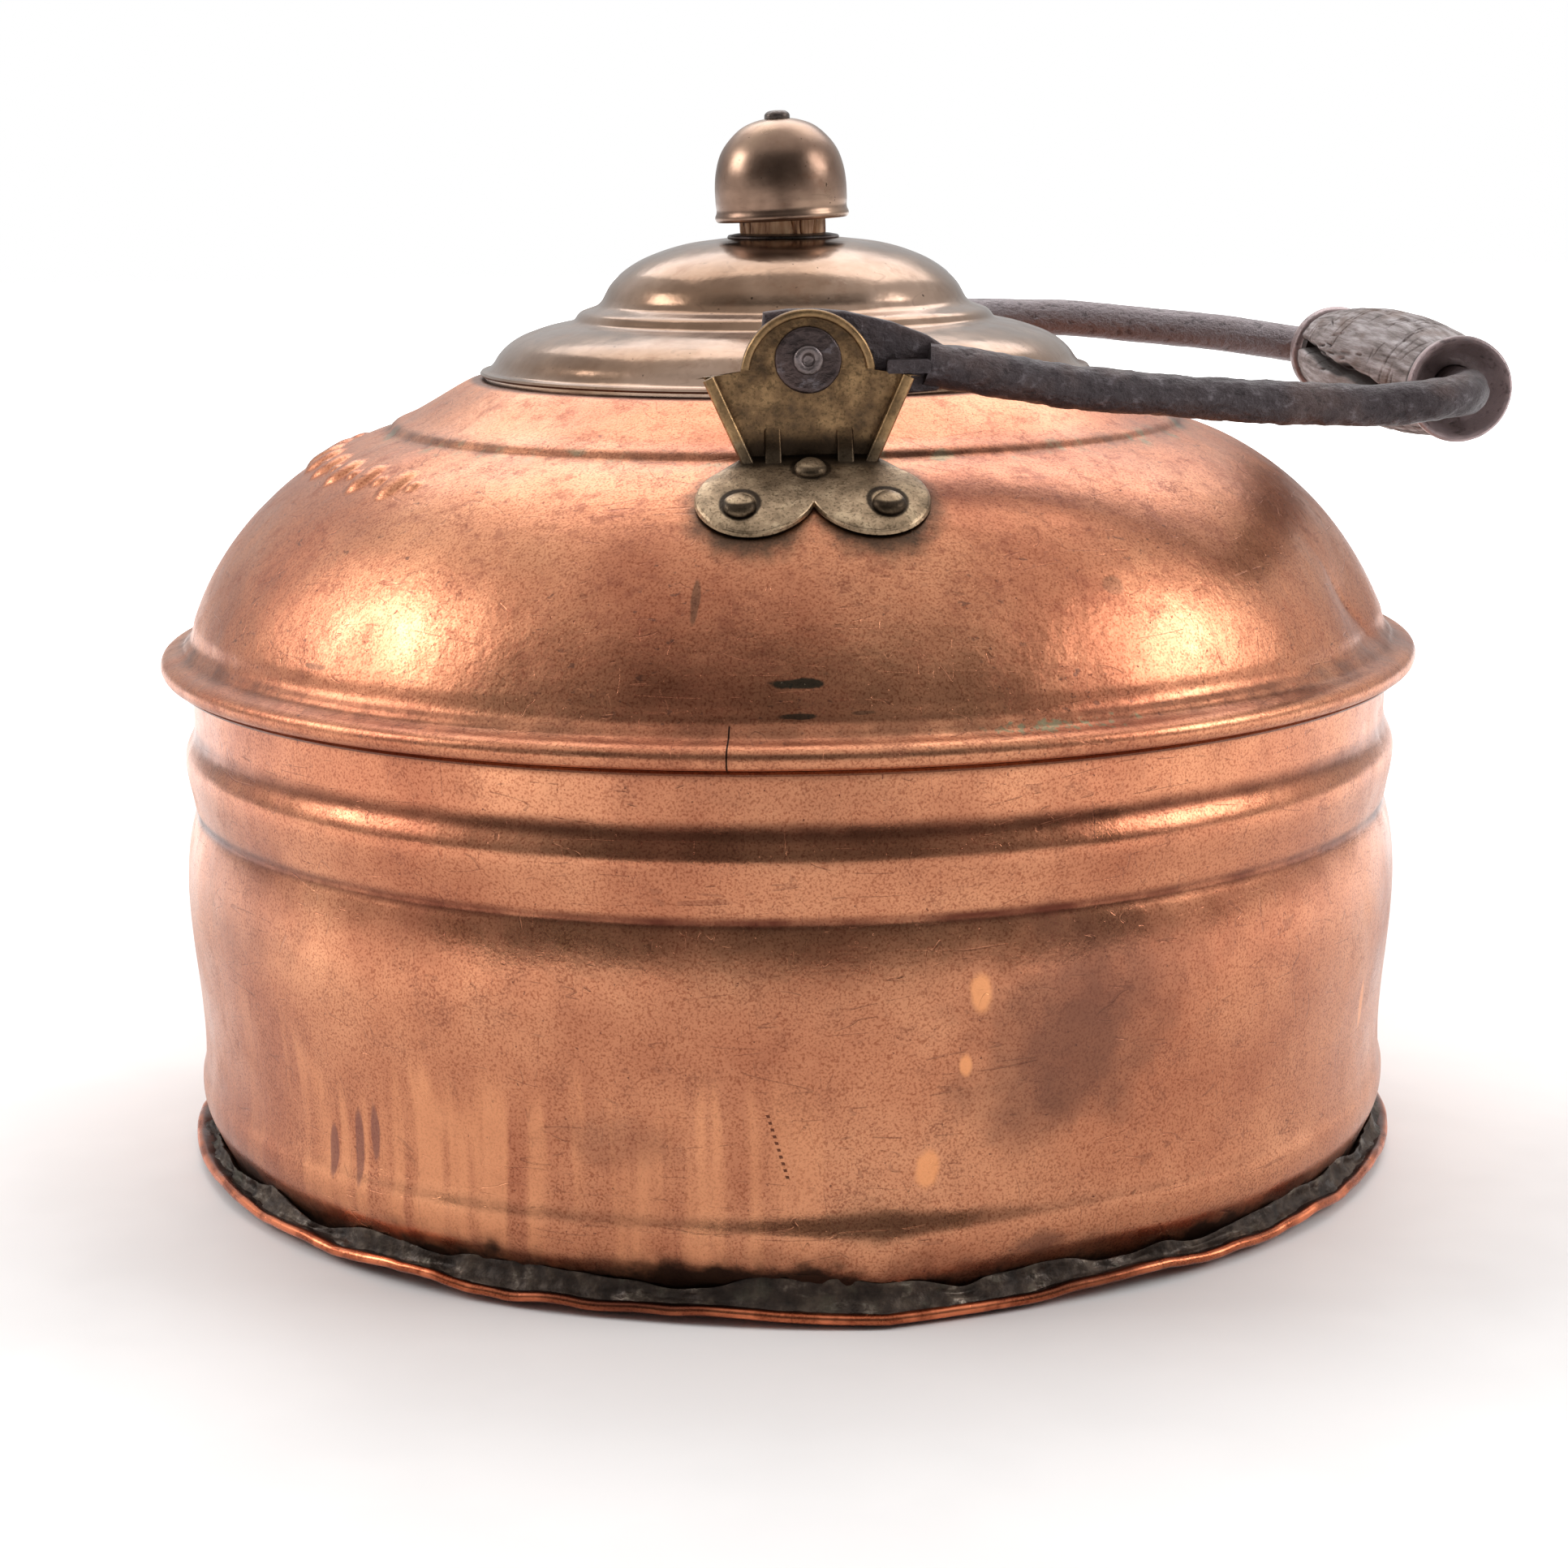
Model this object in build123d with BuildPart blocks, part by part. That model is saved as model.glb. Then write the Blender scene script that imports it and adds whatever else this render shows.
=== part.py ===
from build123d import *
import os
from math import asin, acos, cos, degrees, hypot, radians, sin, sqrt, tan

os.makedirs("parts", exist_ok=True)

# Copper stove kettle with a swing handle and a lift-off lid.
# Millimetres, +Z up. The origin is the centre of the base's resting face.
# The spout points along +Y, and the handle rests towards +X.

# ---------------------------------------------------------------- driving dimensions
SHEET = 1.0              # copper sheet of the wall and the dome
JOINT = 0.05             # solder gap between curved faces that belong together

BASE_R = 120.9           # flange of the base plate
BASE_T = 1.2
WALL_R = 117.9           # straight wall, outside
BAND_R = 117.1           # inset band under the rim, outside
HEM_R = 120.8            # wall's turned-out hem under the rim
HEM_Z = 95.4             # top face of the hem, where the dome sits
RIM_R = 122.9            # rolled rim, outside

DOME_ARC_R = 60.4        # centre of the dome's arc, radius from the axis
DOME_ARC_Z = 83.5        # centre of the dome's arc, height
DOME_ARC = 59.9          # radius of the dome's arc, outside
DOME_FOOT_Z = 101.3      # where the dome meets the rim
CREASE_R = 77.5          # ridge crease at the dome's top
SEAT_Z = 150.2           # lid seat
SEAT_R = 61.0
NECK_R = 54.0            # mouth, inside its turned-down neck
NECK_Z = 144.0

LID_R = 59.5             # lid flange
LID_Z = 150.9            # lid flange, underside
LID_SHEET = 0.9
LID_TOP_Z = 176.4        # flat under the knob
SKIRT_R = 53.0           # lid skirt, outside
SKIRT_SHEET = 0.7
SKIRT_DEPTH = 8.0

KNOB_R = 12.9            # acorn cap
CAP_Z = 179.9            # cap, lower edge
CAP_TOP_Z = 199.1
NECK_WOOD_R = 8.3        # wooden core of the knob
SCREW_R = 1.5
SCREW_HEAD_R = 2.5
SCREW_HEAD_T = 1.6
KNOB_WASHER_R = 10.9
KNOB_WASHER_T = 0.7
KNOB_BURR_R = 5.5
NUT_SIDE = 7.0
NUT_T = 2.8
THREAD_END = 1.6         # screw below its nut

EAR_Y = 77.25            # inner face of the upright ear plates
EAR_T = 1.5
EAR_FOOT_Z = 141.5
PIVOT_Z = 158.3          # handle pivot, on x = 0
PIN_R = 1.95
FOOT_GAP = 0.1           # ear foot above the dome
LOBE = (9.6, -89.0)      # middle of the foot's right oval lobe
LOBE_AXES = (10.2, 8.4)
FLANGE_T = 1.5           # ear's folded side flanges
FLANGE_RISE = 2.6        # side flanges above the plate
BORDER_T = 1.3           # ear's raised border
BORDER_RISE = 0.9
GUSSET_X = 6.2
GUSSET_HALF = 1.4
RIVETS = [(-12.4, -92.2), (12.4, -92.2), (0.0, -83.7)]
RIVET_R = 1.5
RIVET_HEAD_R = 2.8

BAIL_DROOP = 4.3         # resting handle, degrees below level
FLAT_Y = 73.9            # inner face of the handle's flattened ends
FLAT_T = 3.0
LUG_IN = 13.4            # stop lug, nearest to the pivot
LUG_HALF = 1.2
LUG_REACH = 4.2          # lug's length along the pivot
LUG_GAP = 0.1            # lug above the ear's shoulder at rest
ROD_R = 4.0
ROD_START = 20.3         # where the round rod starts, from the pivot
GRIP_X = 120.5           # grip axis at rest
GRIP_Z = 149.3
GRIP_HALF = 50.8         # half length over the ferrules
WOOD_HALF = 47.6
WOOD_R = 11.5            # barrel at its middle
WOOD_END_R = 9.2
FERRULE_R = 9.65
FERRULE_BORE_R = 4.08    # running fit on the rod

SPOUT_Z = 44.0           # centre of the spout's root on the wall
SPOUT_SHEET = 1.0
SPOUT_HOLE = (15.0, 17.0)        # half axes of the hole in the wall
COLLAR_T = 0.9
COLLAR_HALF = (25.0, 22.5)       # half axes of the spout's collar
LIP_RISE = 1.4           # spout's lip beyond the tube
LIP_T = 2.2


def save(piece, name):
    """Label a finished piece and write its file."""
    piece.part.label = name
    export_step(piece.part, f"parts/{name}.step")


def dome_z(r, lift=0.0):
    """Height of the dome's outer surface, raised by lift along its normal, at radius r."""
    return DOME_ARC_Z + sqrt((DOME_ARC + lift) ** 2 - (r - DOME_ARC_R) ** 2)


def dome_plane(x, y, lift):
    """Plane tangent to the dome over the plan point (x, y), raised by lift."""
    r = hypot(x, y)
    lean = asin((r - DOME_ARC_R) / DOME_ARC)
    outward = sin(lean)
    normal = (outward * x / r, outward * y / r, cos(lean))
    z = dome_z(r)
    origin = (x + normal[0] * lift, y + normal[1] * lift, z + normal[2] * lift)
    return Plane(origin=origin, z_dir=normal)


# ---------------------------------------------------------------- base
with BuildPart() as base_plate:
    with BuildSketch(Plane.XY):
        Circle(BASE_R)
    extrude(amount=BASE_T)
    fillet(base_plate.edges().group_by(Axis.Z)[-1], 0.5)
save(base_plate, "base_plate")

SOLDER_IN = WALL_R - 2.3
with BuildPart() as base_solder:
    with BuildSketch(Plane.XZ):
        with BuildLine():
            Line((SOLDER_IN, BASE_T), (BASE_R - 1.4, BASE_T))
            ThreePointArc((BASE_R - 1.4, BASE_T), (BASE_R - 3.0, BASE_T + 2.0), (SOLDER_IN + 0.4, 4.4))
            Line((SOLDER_IN + 0.4, 4.4), (SOLDER_IN, BASE_T))
        make_face()
    revolve(axis=Axis.Z)
save(base_solder, "base_solder")


# ---------------------------------------------------------------- wall
def wall_line(inset):
    """Generator of the wall from its foot to the hem, moved in by inset."""
    r = WALL_R - inset
    band = BAND_R - inset
    Line((r - 2.4, BASE_T), (r - 2.1, 4.6))
    Line((r - 2.1, 4.6), (r + 0.3, 10.6))
    ThreePointArc((r + 0.3, 10.6), (r + 1.0, 14.8), (r, 19.5))
    Line((r, 19.5), (r, 68.2))
    ThreePointArc((r, 68.2), (r - 0.45, 69.2), (r, 70.2))
    Line((r, 70.2), (r, 72.6))
    ThreePointArc((r, 72.6), (r + 1.2, 78.4), (band + 0.3, 83.6))
    Line((band + 0.3, 83.6), (band, 86.6))
    Line((band, 86.6), (band, HEM_Z - SHEET))


SPOUT_SIDE = WALL_R + 5          # plane outside the wall on the spout's side
SPOUT_CUT = 18                   # depth of cuts from that plane
with BuildPart() as body_wall:
    with BuildSketch(Plane.XZ):
        with BuildLine():
            wall_line(0)
            wall_line(SHEET)
            Line((WALL_R - 2.4, BASE_T), (WALL_R - 2.4 - SHEET, BASE_T))
            Line((BAND_R - SHEET, HEM_Z - SHEET), (BAND_R, HEM_Z - SHEET))
        make_face()
    revolve(axis=Axis.Z)
    with BuildSketch(Plane.XY.offset(HEM_Z - SHEET)):
        Circle(HEM_R)
        Circle(BAND_R - SHEET, mode=Mode.SUBTRACT)
    extrude(amount=SHEET)
    with BuildSketch(Plane.XZ.offset(-SPOUT_SIDE)):
        with Locations((0, SPOUT_Z)):
            Ellipse(*SPOUT_HOLE)
    extrude(amount=SPOUT_CUT, mode=Mode.SUBTRACT)
save(body_wall, "body_wall")


# ---------------------------------------------------------------- shoulder dome
def dome_arc(radius):
    """Arc of the dome from its foot up to the crease."""
    foot = degrees(asin((DOME_FOOT_Z - DOME_ARC_Z) / DOME_ARC))
    crease = degrees(acos((CREASE_R - DOME_ARC_R) / DOME_ARC))
    return CenterArc((DOME_ARC_R, DOME_ARC_Z), radius, foot, crease - foot)


with BuildPart() as shoulder_dome:
    with BuildSketch(Plane.XZ):
        with BuildLine():
            outer = dome_arc(DOME_ARC)
            inner = dome_arc(DOME_ARC - SHEET)
            lip_top = (RIM_R - 1.6, HEM_Z + 4.3)
            lip_low = (RIM_R - 1.4, HEM_Z)
            Line(inner @ 0, (BAND_R - SHEET, HEM_Z))
            Line((BAND_R - SHEET, HEM_Z), lip_low)
            ThreePointArc(lip_low, (RIM_R, HEM_Z + 2.2), lip_top)
            ThreePointArc(lip_top, (118.8, 100.0), outer @ 0)
            ridge = Spline(outer @ 1, (76.4, 142.2), (73.6, 143.3))
            Line(ridge @ 1, (SEAT_R + 1.2, SEAT_Z - 0.5))
            ThreePointArc((SEAT_R + 1.2, SEAT_Z - 0.5), (SEAT_R + 0.5, SEAT_Z - 0.13), (SEAT_R - 0.2, SEAT_Z))
            Line((SEAT_R - 0.2, SEAT_Z), (NECK_R + 0.6, SEAT_Z))
            ThreePointArc((NECK_R + 0.6, SEAT_Z), (NECK_R + 0.18, SEAT_Z - 0.18), (NECK_R, SEAT_Z - 0.6))
            Line((NECK_R, SEAT_Z - 0.6), (NECK_R, NECK_Z))
            Line((NECK_R, NECK_Z), (NECK_R + SHEET, NECK_Z))
            Line((NECK_R + SHEET, NECK_Z), (NECK_R + SHEET, SEAT_Z - SHEET))
            Line((NECK_R + SHEET, SEAT_Z - SHEET), (SEAT_R, SEAT_Z - SHEET))
            Line((SEAT_R, SEAT_Z - SHEET), (75.2, 141.2))
            Line((75.2, 141.2), inner @ 1)
        make_face()
    revolve(axis=Axis.Z)
    for sign in (1, -1):
        for x, y in RIVETS:
            with BuildSketch(dome_plane(x, y * sign, 2.0)):
                Circle(RIVET_R + JOINT)
            extrude(amount=-6, mode=Mode.SUBTRACT)
save(shoulder_dome, "shoulder_dome")

# ---------------------------------------------------------------- spout
# Each station: y, z, slope of the axis in degrees, half width, half depth.
SPOUT_STATIONS = [
    (104.0, 36.0, 22.0, 18.5, 20.0),
    (126.0, 48.0, 40.0, 16.5, 17.5),
    (142.0, 68.0, 60.0, 14.2, 14.8),
    (150.5, 92.0, 74.0, 12.6, 12.9),
    (156.0, 116.0, 73.0, 11.8, 11.8),
    (163.5, 136.0, 62.0, 11.4, 11.4),
    (173.0, 149.0, 48.0, 11.4, 11.4),
]


def spout_plane(station):
    """Section plane of the spout at a station, square to the spout's axis."""
    y, z, slope = station[:3]
    return Plane(origin=(0, y, z), x_dir=(1, 0, 0), z_dir=(0, cos(radians(slope)), sin(radians(slope))))


with BuildPart() as spout_bore:
    for station in SPOUT_STATIONS:
        with BuildSketch(spout_plane(station)):
            Ellipse(station[3] - SPOUT_SHEET, station[4] - SPOUT_SHEET)
    loft()

with BuildPart() as spout_tube:
    for station in SPOUT_STATIONS:
        with BuildSketch(spout_plane(station)):
            Ellipse(station[3], station[4])
    loft()
    add(spout_bore.part, mode=Mode.SUBTRACT)
    with BuildSketch(Plane.XY):
        Circle(WALL_R + COLLAR_T + 2 * JOINT)
    extrude(amount=HEM_Z, mode=Mode.SUBTRACT)
save(spout_tube, "spout_tube")

with BuildPart() as spout_collar:
    with BuildSketch(Plane.XY.offset(SPOUT_Z - COLLAR_HALF[1] - 1)):
        Circle(WALL_R + COLLAR_T + JOINT)
        Circle(WALL_R + JOINT, mode=Mode.SUBTRACT)
    extrude(amount=2 * COLLAR_HALF[1] + 2)
    with BuildSketch(Plane.XZ.offset(-SPOUT_SIDE)):
        with Locations((0, SPOUT_Z)):
            Ellipse(*COLLAR_HALF)
    extrude(amount=SPOUT_CUT, mode=Mode.INTERSECT)
    with BuildSketch(Plane.XZ.offset(-SPOUT_SIDE)):
        with Locations((0, SPOUT_Z)):
            Ellipse(*SPOUT_HOLE)
    extrude(amount=SPOUT_CUT, mode=Mode.SUBTRACT)
save(spout_collar, "spout_collar")

TIP = spout_plane(SPOUT_STATIONS[-1])
TIP_R = SPOUT_STATIONS[-1][3]
with BuildPart() as spout_lip:
    with BuildSketch(TIP.offset(0.2)):
        Circle(TIP_R + LIP_RISE)
        Circle(TIP_R - SPOUT_SHEET, mode=Mode.SUBTRACT)
    extrude(amount=LIP_T)
    outer_edges = spout_lip.edges().filter_by(GeomType.CIRCLE).filter_by(lambda e: e.radius > TIP_R)
    fillet(outer_edges, 0.9)
save(spout_lip, "spout_lip")

# ---------------------------------------------------------------- ears
SHOULDER = tan(radians(BAIL_DROOP))
SHOULDER_Z = PIVOT_Z - (LUG_HALF + LUG_GAP) / cos(radians(BAIL_DROOP))
EAR_TOP_R = 11.6
EAR_TOP_Z = 155.3
EAR_HALF = 17.9
EAR_FOOT_HALF = 11.2


def shoulder_z(x):
    """Height of the ear's shoulder at x, parallel to the resting handle."""
    return SHOULDER_Z - x * SHOULDER


NOTCH_Z = shoulder_z(EAR_TOP_R)
NOTCH_X = sqrt(EAR_TOP_R ** 2 - (NOTCH_Z - EAR_TOP_Z) ** 2)

with BuildPart() as ear_foot:
    with BuildSketch(Plane.XZ):
        with BuildLine():
            low = CenterArc((DOME_ARC_R, DOME_ARC_Z), DOME_ARC + FOOT_GAP, 40, 35)
            high = CenterArc((DOME_ARC_R, DOME_ARC_Z), DOME_ARC + FOOT_GAP + EAR_T, 40, 35)
            Line(low @ 0, high @ 0)
            Line(low @ 1, high @ 1)
        make_face()
    revolve(axis=Axis.Z)
    with BuildSketch(Plane.XY.offset(110)):
        with BuildLine():
            Polyline(
                (-EAR_FOOT_HALF, -77.7), (-16.0, -82.5), (0, -91.0), (16.0, -82.5), (EAR_FOOT_HALF, -77.7),
                close=True)
        make_face()
        with Locations(LOBE, (-LOBE[0], LOBE[1])):
            Ellipse(*LOBE_AXES)
    extrude(amount=50, mode=Mode.INTERSECT)

with BuildPart() as ear_back:
    with BuildSketch(Plane.XZ.offset(EAR_Y)):
        with BuildLine():
            Polyline(
                (-NOTCH_X, NOTCH_Z), (-EAR_HALF, shoulder_z(EAR_HALF)),
                (-EAR_FOOT_HALF, EAR_FOOT_Z), (EAR_FOOT_HALF, EAR_FOOT_Z),
                (EAR_HALF, shoulder_z(EAR_HALF)), (NOTCH_X, NOTCH_Z))
            ThreePointArc((NOTCH_X, NOTCH_Z), (0, EAR_TOP_Z + EAR_TOP_R), (-NOTCH_X, NOTCH_Z))
        make_face()
    extrude(amount=EAR_T)
    # Side flanges turned outward
    for sign in (1, -1):
        with BuildSketch(Plane.XZ.offset(EAR_Y)):
            with BuildLine():
                Polyline(
                    (sign * (EAR_HALF - FLANGE_T), shoulder_z(EAR_HALF - FLANGE_T)),
                    (sign * EAR_HALF, shoulder_z(EAR_HALF)),
                    (sign * EAR_FOOT_HALF, EAR_FOOT_Z),
                    (sign * (EAR_FOOT_HALF - FLANGE_T), EAR_FOOT_Z), close=True)
            make_face()
        extrude(amount=EAR_T + FLANGE_RISE)
    # Raised border round the top
    with BuildSketch(Plane.XZ.offset(EAR_Y)):
        with Locations((0, EAR_TOP_Z)):
            Circle(EAR_TOP_R)
            Circle(EAR_TOP_R - BORDER_T, mode=Mode.SUBTRACT)
        with Locations((0, EAR_TOP_Z + 1.2 - EAR_TOP_R)):
            Rectangle(2 * EAR_TOP_R, 2 * EAR_TOP_R, mode=Mode.SUBTRACT)
    extrude(amount=EAR_T + BORDER_RISE)
    # Two gusset ribs at the foot
    for x in (-GUSSET_X, GUSSET_X):
        with BuildSketch(Plane.YZ.offset(x)):
            with BuildLine():
                Polyline(
                    (-EAR_Y - 1, 147.0), (-EAR_Y - EAR_T, 147.0), (-EAR_Y - EAR_T - 2.6, 144.0),
                    (-EAR_Y - EAR_T - 3.4, 141.4), (-EAR_Y - 1, EAR_FOOT_Z), close=True)
            make_face()
        extrude(amount=GUSSET_HALF, both=True)
    add(ear_foot.part)
    with BuildSketch(Plane.XZ.offset(EAR_Y - 1)):
        with Locations((0, PIVOT_Z)):
            Circle(PIN_R + JOINT)
    extrude(amount=EAR_T + 2, mode=Mode.SUBTRACT)
    for x, y in RIVETS:
        with BuildSketch(dome_plane(x, y, 6.0)):
            Circle(RIVET_R + JOINT)
        extrude(amount=-8, mode=Mode.SUBTRACT)
save(ear_back, "ear_back")

with BuildPart() as ear_front:
    mirror(ear_back.part, about=Plane.XZ)
save(ear_front, "ear_front")

# ---------------------------------------------------------------- ear rivets and their burrs
HEAD_LIFT = FOOT_GAP + EAR_T + 0.02
TAIL_LIFT = -SHEET - 0.25
BURR_T = 0.8
BURR_R = 4.0

with BuildPart() as ear_rivets_back:
    for x, y in RIVETS:
        seat = dome_plane(x, y, 0)
        tail = TAIL_LIFT - BURR_T
        with BuildSketch(Plane(origin=seat.origin, x_dir=seat.x_dir, z_dir=-seat.y_dir)):
            with BuildLine():
                Polyline(
                    (0, tail - 0.9), (RIVET_R + 0.5, tail - 0.9), (RIVET_R + 1.0, tail), (RIVET_R, tail),
                    (RIVET_R, HEAD_LIFT), (RIVET_HEAD_R, HEAD_LIFT), (RIVET_HEAD_R, HEAD_LIFT + 0.3))
                head = TangentArc(
                    (RIVET_HEAD_R, HEAD_LIFT + 0.3), (0.6, HEAD_LIFT + 1.5), tangent=(0, 1))
                Polyline(head @ 1, (0, HEAD_LIFT + 1.5), (0, tail - 0.9))
            make_face()
        revolve(axis=Axis(seat.origin, seat.z_dir))
save(ear_rivets_back, "ear_rivets_back")

with BuildPart() as ear_rivets_front:
    mirror(ear_rivets_back.part, about=Plane.XZ)
save(ear_rivets_front, "ear_rivets_front")

with BuildPart() as rivet_burrs_back:
    for x, y in RIVETS:
        with BuildSketch(dome_plane(x, y, TAIL_LIFT)):
            Circle(BURR_R)
            Circle(RIVET_R + JOINT, mode=Mode.SUBTRACT)
        extrude(amount=-BURR_T)
save(rivet_burrs_back, "rivet_burrs_back")

with BuildPart() as rivet_burrs_front:
    mirror(rivet_burrs_back.part, about=Plane.XZ)
save(rivet_burrs_front, "rivet_burrs_front")

# ---------------------------------------------------------------- pivot pins and washers
WASHER_R = 5.7
WASHER_T = 0.9
WASHER_Y = EAR_Y + EAR_T
PIN_AXIS = Axis((0, 0, PIVOT_Z), (0, 1, 0))

with BuildPart() as pivot_pin_back:
    with BuildSketch(Plane.YZ):
        with BuildLine():
            Polyline(
                (-FLAT_Y + 1.7, PIVOT_Z), (-FLAT_Y + 1.7, PIVOT_Z + 2.4), (-FLAT_Y + 0.9, PIVOT_Z + 3.9),
                (-FLAT_Y + 0.1, PIVOT_Z + 4.2), (-FLAT_Y + 0.1, PIVOT_Z + PIN_R),
                (-WASHER_Y - WASHER_T, PIVOT_Z + PIN_R), (-WASHER_Y - WASHER_T, PIVOT_Z + 2.5),
                (-WASHER_Y - WASHER_T - 0.7, PIVOT_Z + 2.3), (-WASHER_Y - WASHER_T - 1.1, PIVOT_Z + 1.2),
                (-WASHER_Y - WASHER_T - 1.2, PIVOT_Z), close=True)
        make_face()
    revolve(axis=PIN_AXIS)
save(pivot_pin_back, "pivot_pin_back")

with BuildPart() as pivot_pin_front:
    mirror(pivot_pin_back.part, about=Plane.XZ)
save(pivot_pin_front, "pivot_pin_front")

with BuildPart() as pivot_washer_back:
    with BuildSketch(Plane.XZ.offset(WASHER_Y)):
        with Locations((0, PIVOT_Z)):
            Circle(WASHER_R)
            Circle(PIN_R + JOINT, mode=Mode.SUBTRACT)
    extrude(amount=WASHER_T)
    fillet(pivot_washer_back.edges().filter_by(GeomType.CIRCLE).group_by(Axis.Y)[0].sort_by(SortBy.RADIUS)[-1], 0.3)
save(pivot_washer_back, "pivot_washer_back")

with BuildPart() as pivot_washer_front:
    mirror(pivot_washer_back.part, about=Plane.XZ)
save(pivot_washer_front, "pivot_washer_front")

# ---------------------------------------------------------------- handle
# The rod's centre line from the back ear round the grip to the front ear.
BAIL_POINTS = [
    (ROD_START, -75.9, 157.3), (44.0, -73.0, 152.7), (75.0, -67.5, 149.4), (100.0, -64.2, 147.6),
    (GRIP_X, -63.4, GRIP_Z), (GRIP_X, 63.4, GRIP_Z),
    (98.0, 64.4, 152.9), (66.0, 69.4, 156.2), (ROD_START, 75.9, 157.2),
]
BAIL_BENDS = [60, 60, 40, 10, 10, 60, 60]
ARM = Plane(origin=(0, 0, PIVOT_Z), x_dir=(cos(radians(BAIL_DROOP)), 0, -sin(radians(BAIL_DROOP))), z_dir=(0, -1, 0))

with BuildPart() as bail_rod:
    with BuildLine() as bail_path:
        FilletPolyline(*BAIL_POINTS, radius=BAIL_BENDS)
    with BuildSketch(Plane(origin=bail_path.line @ 0, z_dir=bail_path.line % 0)):
        Circle(ROD_R)
    sweep(path=bail_path.line)
    for side in (1, -1):
        # Flattened end with its eye
        with BuildSketch(ARM.offset(side * FLAT_Y)):
            with BuildLine():
                Polyline(
                    (-8.0, 8.0), (6.0, 8.6), (20.4, 5.4), (24.0, 3.0), (24.0, -3.0),
                    (20.4, -4.4), (8.0, -6.0), (-4.0, -6.0), (-8.0, -3.0), close=True)
            make_face()
            Circle(PIN_R + 0.08, mode=Mode.SUBTRACT)
        extrude(amount=side * FLAT_T)
        # Stop lug over the ear's shoulder
        with BuildSketch(ARM.offset(side * (FLAT_Y + FLAT_T - 0.5))):
            with Locations(((LUG_IN + ROD_START + 1) / 2, 0)):
                Rectangle(ROD_START + 1 - LUG_IN, 2 * LUG_HALF)
        extrude(amount=side * LUG_REACH)
save(bail_rod, "bail_rod")

# ---------------------------------------------------------------- grip
GRIP_AXIS = Axis((GRIP_X, 0, GRIP_Z), (0, 1, 0))
GRIP_PLANE = Plane(origin=(GRIP_X, 0, GRIP_Z), x_dir=(0, 1, 0), z_dir=(1, 0, 0))

with BuildPart() as grip_wood:
    with BuildSketch(GRIP_PLANE):
        with BuildLine():
            bore = ROD_R + 0.5
            Line((-WOOD_HALF, bore), (WOOD_HALF, bore))
            Line((WOOD_HALF, bore), (WOOD_HALF, WOOD_END_R))
            ThreePointArc((WOOD_HALF, WOOD_END_R), (0, WOOD_R), (-WOOD_HALF, WOOD_END_R))
            Line((-WOOD_HALF, WOOD_END_R), (-WOOD_HALF, bore))
        make_face()
    revolve(axis=GRIP_AXIS)
save(grip_wood, "grip_wood")

with BuildPart() as grip_ferrule_front:
    with BuildSketch(GRIP_PLANE):
        with BuildLine():
            Polyline(
                (WOOD_HALF, FERRULE_BORE_R), (WOOD_HALF, 7.7), (WOOD_HALF + 1.0, 8.2),
                (GRIP_HALF - 1.2, FERRULE_R - 0.2))
            ThreePointArc(
                (GRIP_HALF - 1.2, FERRULE_R - 0.2), (GRIP_HALF - 0.5, FERRULE_R), (GRIP_HALF, FERRULE_R - 0.4))
            ThreePointArc(
                (GRIP_HALF, FERRULE_R - 0.4), (WOOD_HALF + 1.9, 7.2), (WOOD_HALF + 1.4, FERRULE_BORE_R))
            Line((WOOD_HALF + 1.4, FERRULE_BORE_R), (WOOD_HALF, FERRULE_BORE_R))
        make_face()
    revolve(axis=GRIP_AXIS)
save(grip_ferrule_front, "grip_ferrule_front")

with BuildPart() as grip_ferrule_back:
    mirror(grip_ferrule_front.part, about=Plane.XZ)
save(grip_ferrule_back, "grip_ferrule_back")


# ---------------------------------------------------------------- lid
def lid_line():
    """Outer generator of the lid from the flange up to the flat under the knob."""
    Line((LID_R - 0.3, LID_Z + LID_SHEET), (58.2, LID_Z + LID_SHEET))
    ThreePointArc((58.2, LID_Z + LID_SHEET), (55.6, 154.9), (51.5, 158.0))
    ThreePointArc((51.5, 158.0), (46.0, 159.9), (40.9, 161.0))
    ThreePointArc((40.9, 161.0), (39.6, 162.7), (37.8, 163.4))
    ThreePointArc((37.8, 163.4), (35.4, 164.9), (34.3, 167.0))
    ThreePointArc((34.3, 167.0), (28.6, 172.0), (13.2, LID_TOP_Z - 0.2))
    Line((13.2, LID_TOP_Z - 0.2), (11.4, LID_TOP_Z))
    Line((11.4, LID_TOP_Z), (SCREW_R + JOINT, LID_TOP_Z))


def lid_lining():
    """Inner generator of the lid, from the flange's inner edge up to the flat."""
    Line((LID_R - 0.3, LID_Z), (57.5, LID_Z))
    ThreePointArc((57.5, LID_Z), (54.9, 154.2), (51.0, 157.1))
    ThreePointArc((51.0, 157.1), (45.6, 159.0), (39.9, 160.3))
    ThreePointArc((39.9, 160.3), (38.9, 161.9), (37.2, 162.6))
    ThreePointArc((37.2, 162.6), (34.6, 164.3), (33.4, 166.6))
    ThreePointArc((33.4, 166.6), (28.0, 171.2), (13.0, LID_TOP_Z - 1.1))
    Line((13.0, LID_TOP_Z - 1.1), (11.4, LID_TOP_Z - LID_SHEET))
    Line((11.4, LID_TOP_Z - LID_SHEET), (SCREW_R + JOINT, LID_TOP_Z - LID_SHEET))


with BuildPart() as lid_shell:
    with BuildSketch(Plane.XZ):
        with BuildLine():
            lid_line()
            lid_lining()
            ThreePointArc(
                (LID_R - 0.3, LID_Z), (LID_R, LID_Z + LID_SHEET / 2), (LID_R - 0.3, LID_Z + LID_SHEET))
            Line((SCREW_R + JOINT, LID_TOP_Z - LID_SHEET), (SCREW_R + JOINT, LID_TOP_Z))
        make_face()
    revolve(axis=Axis.Z)
save(lid_shell, "lid_shell")

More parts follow.
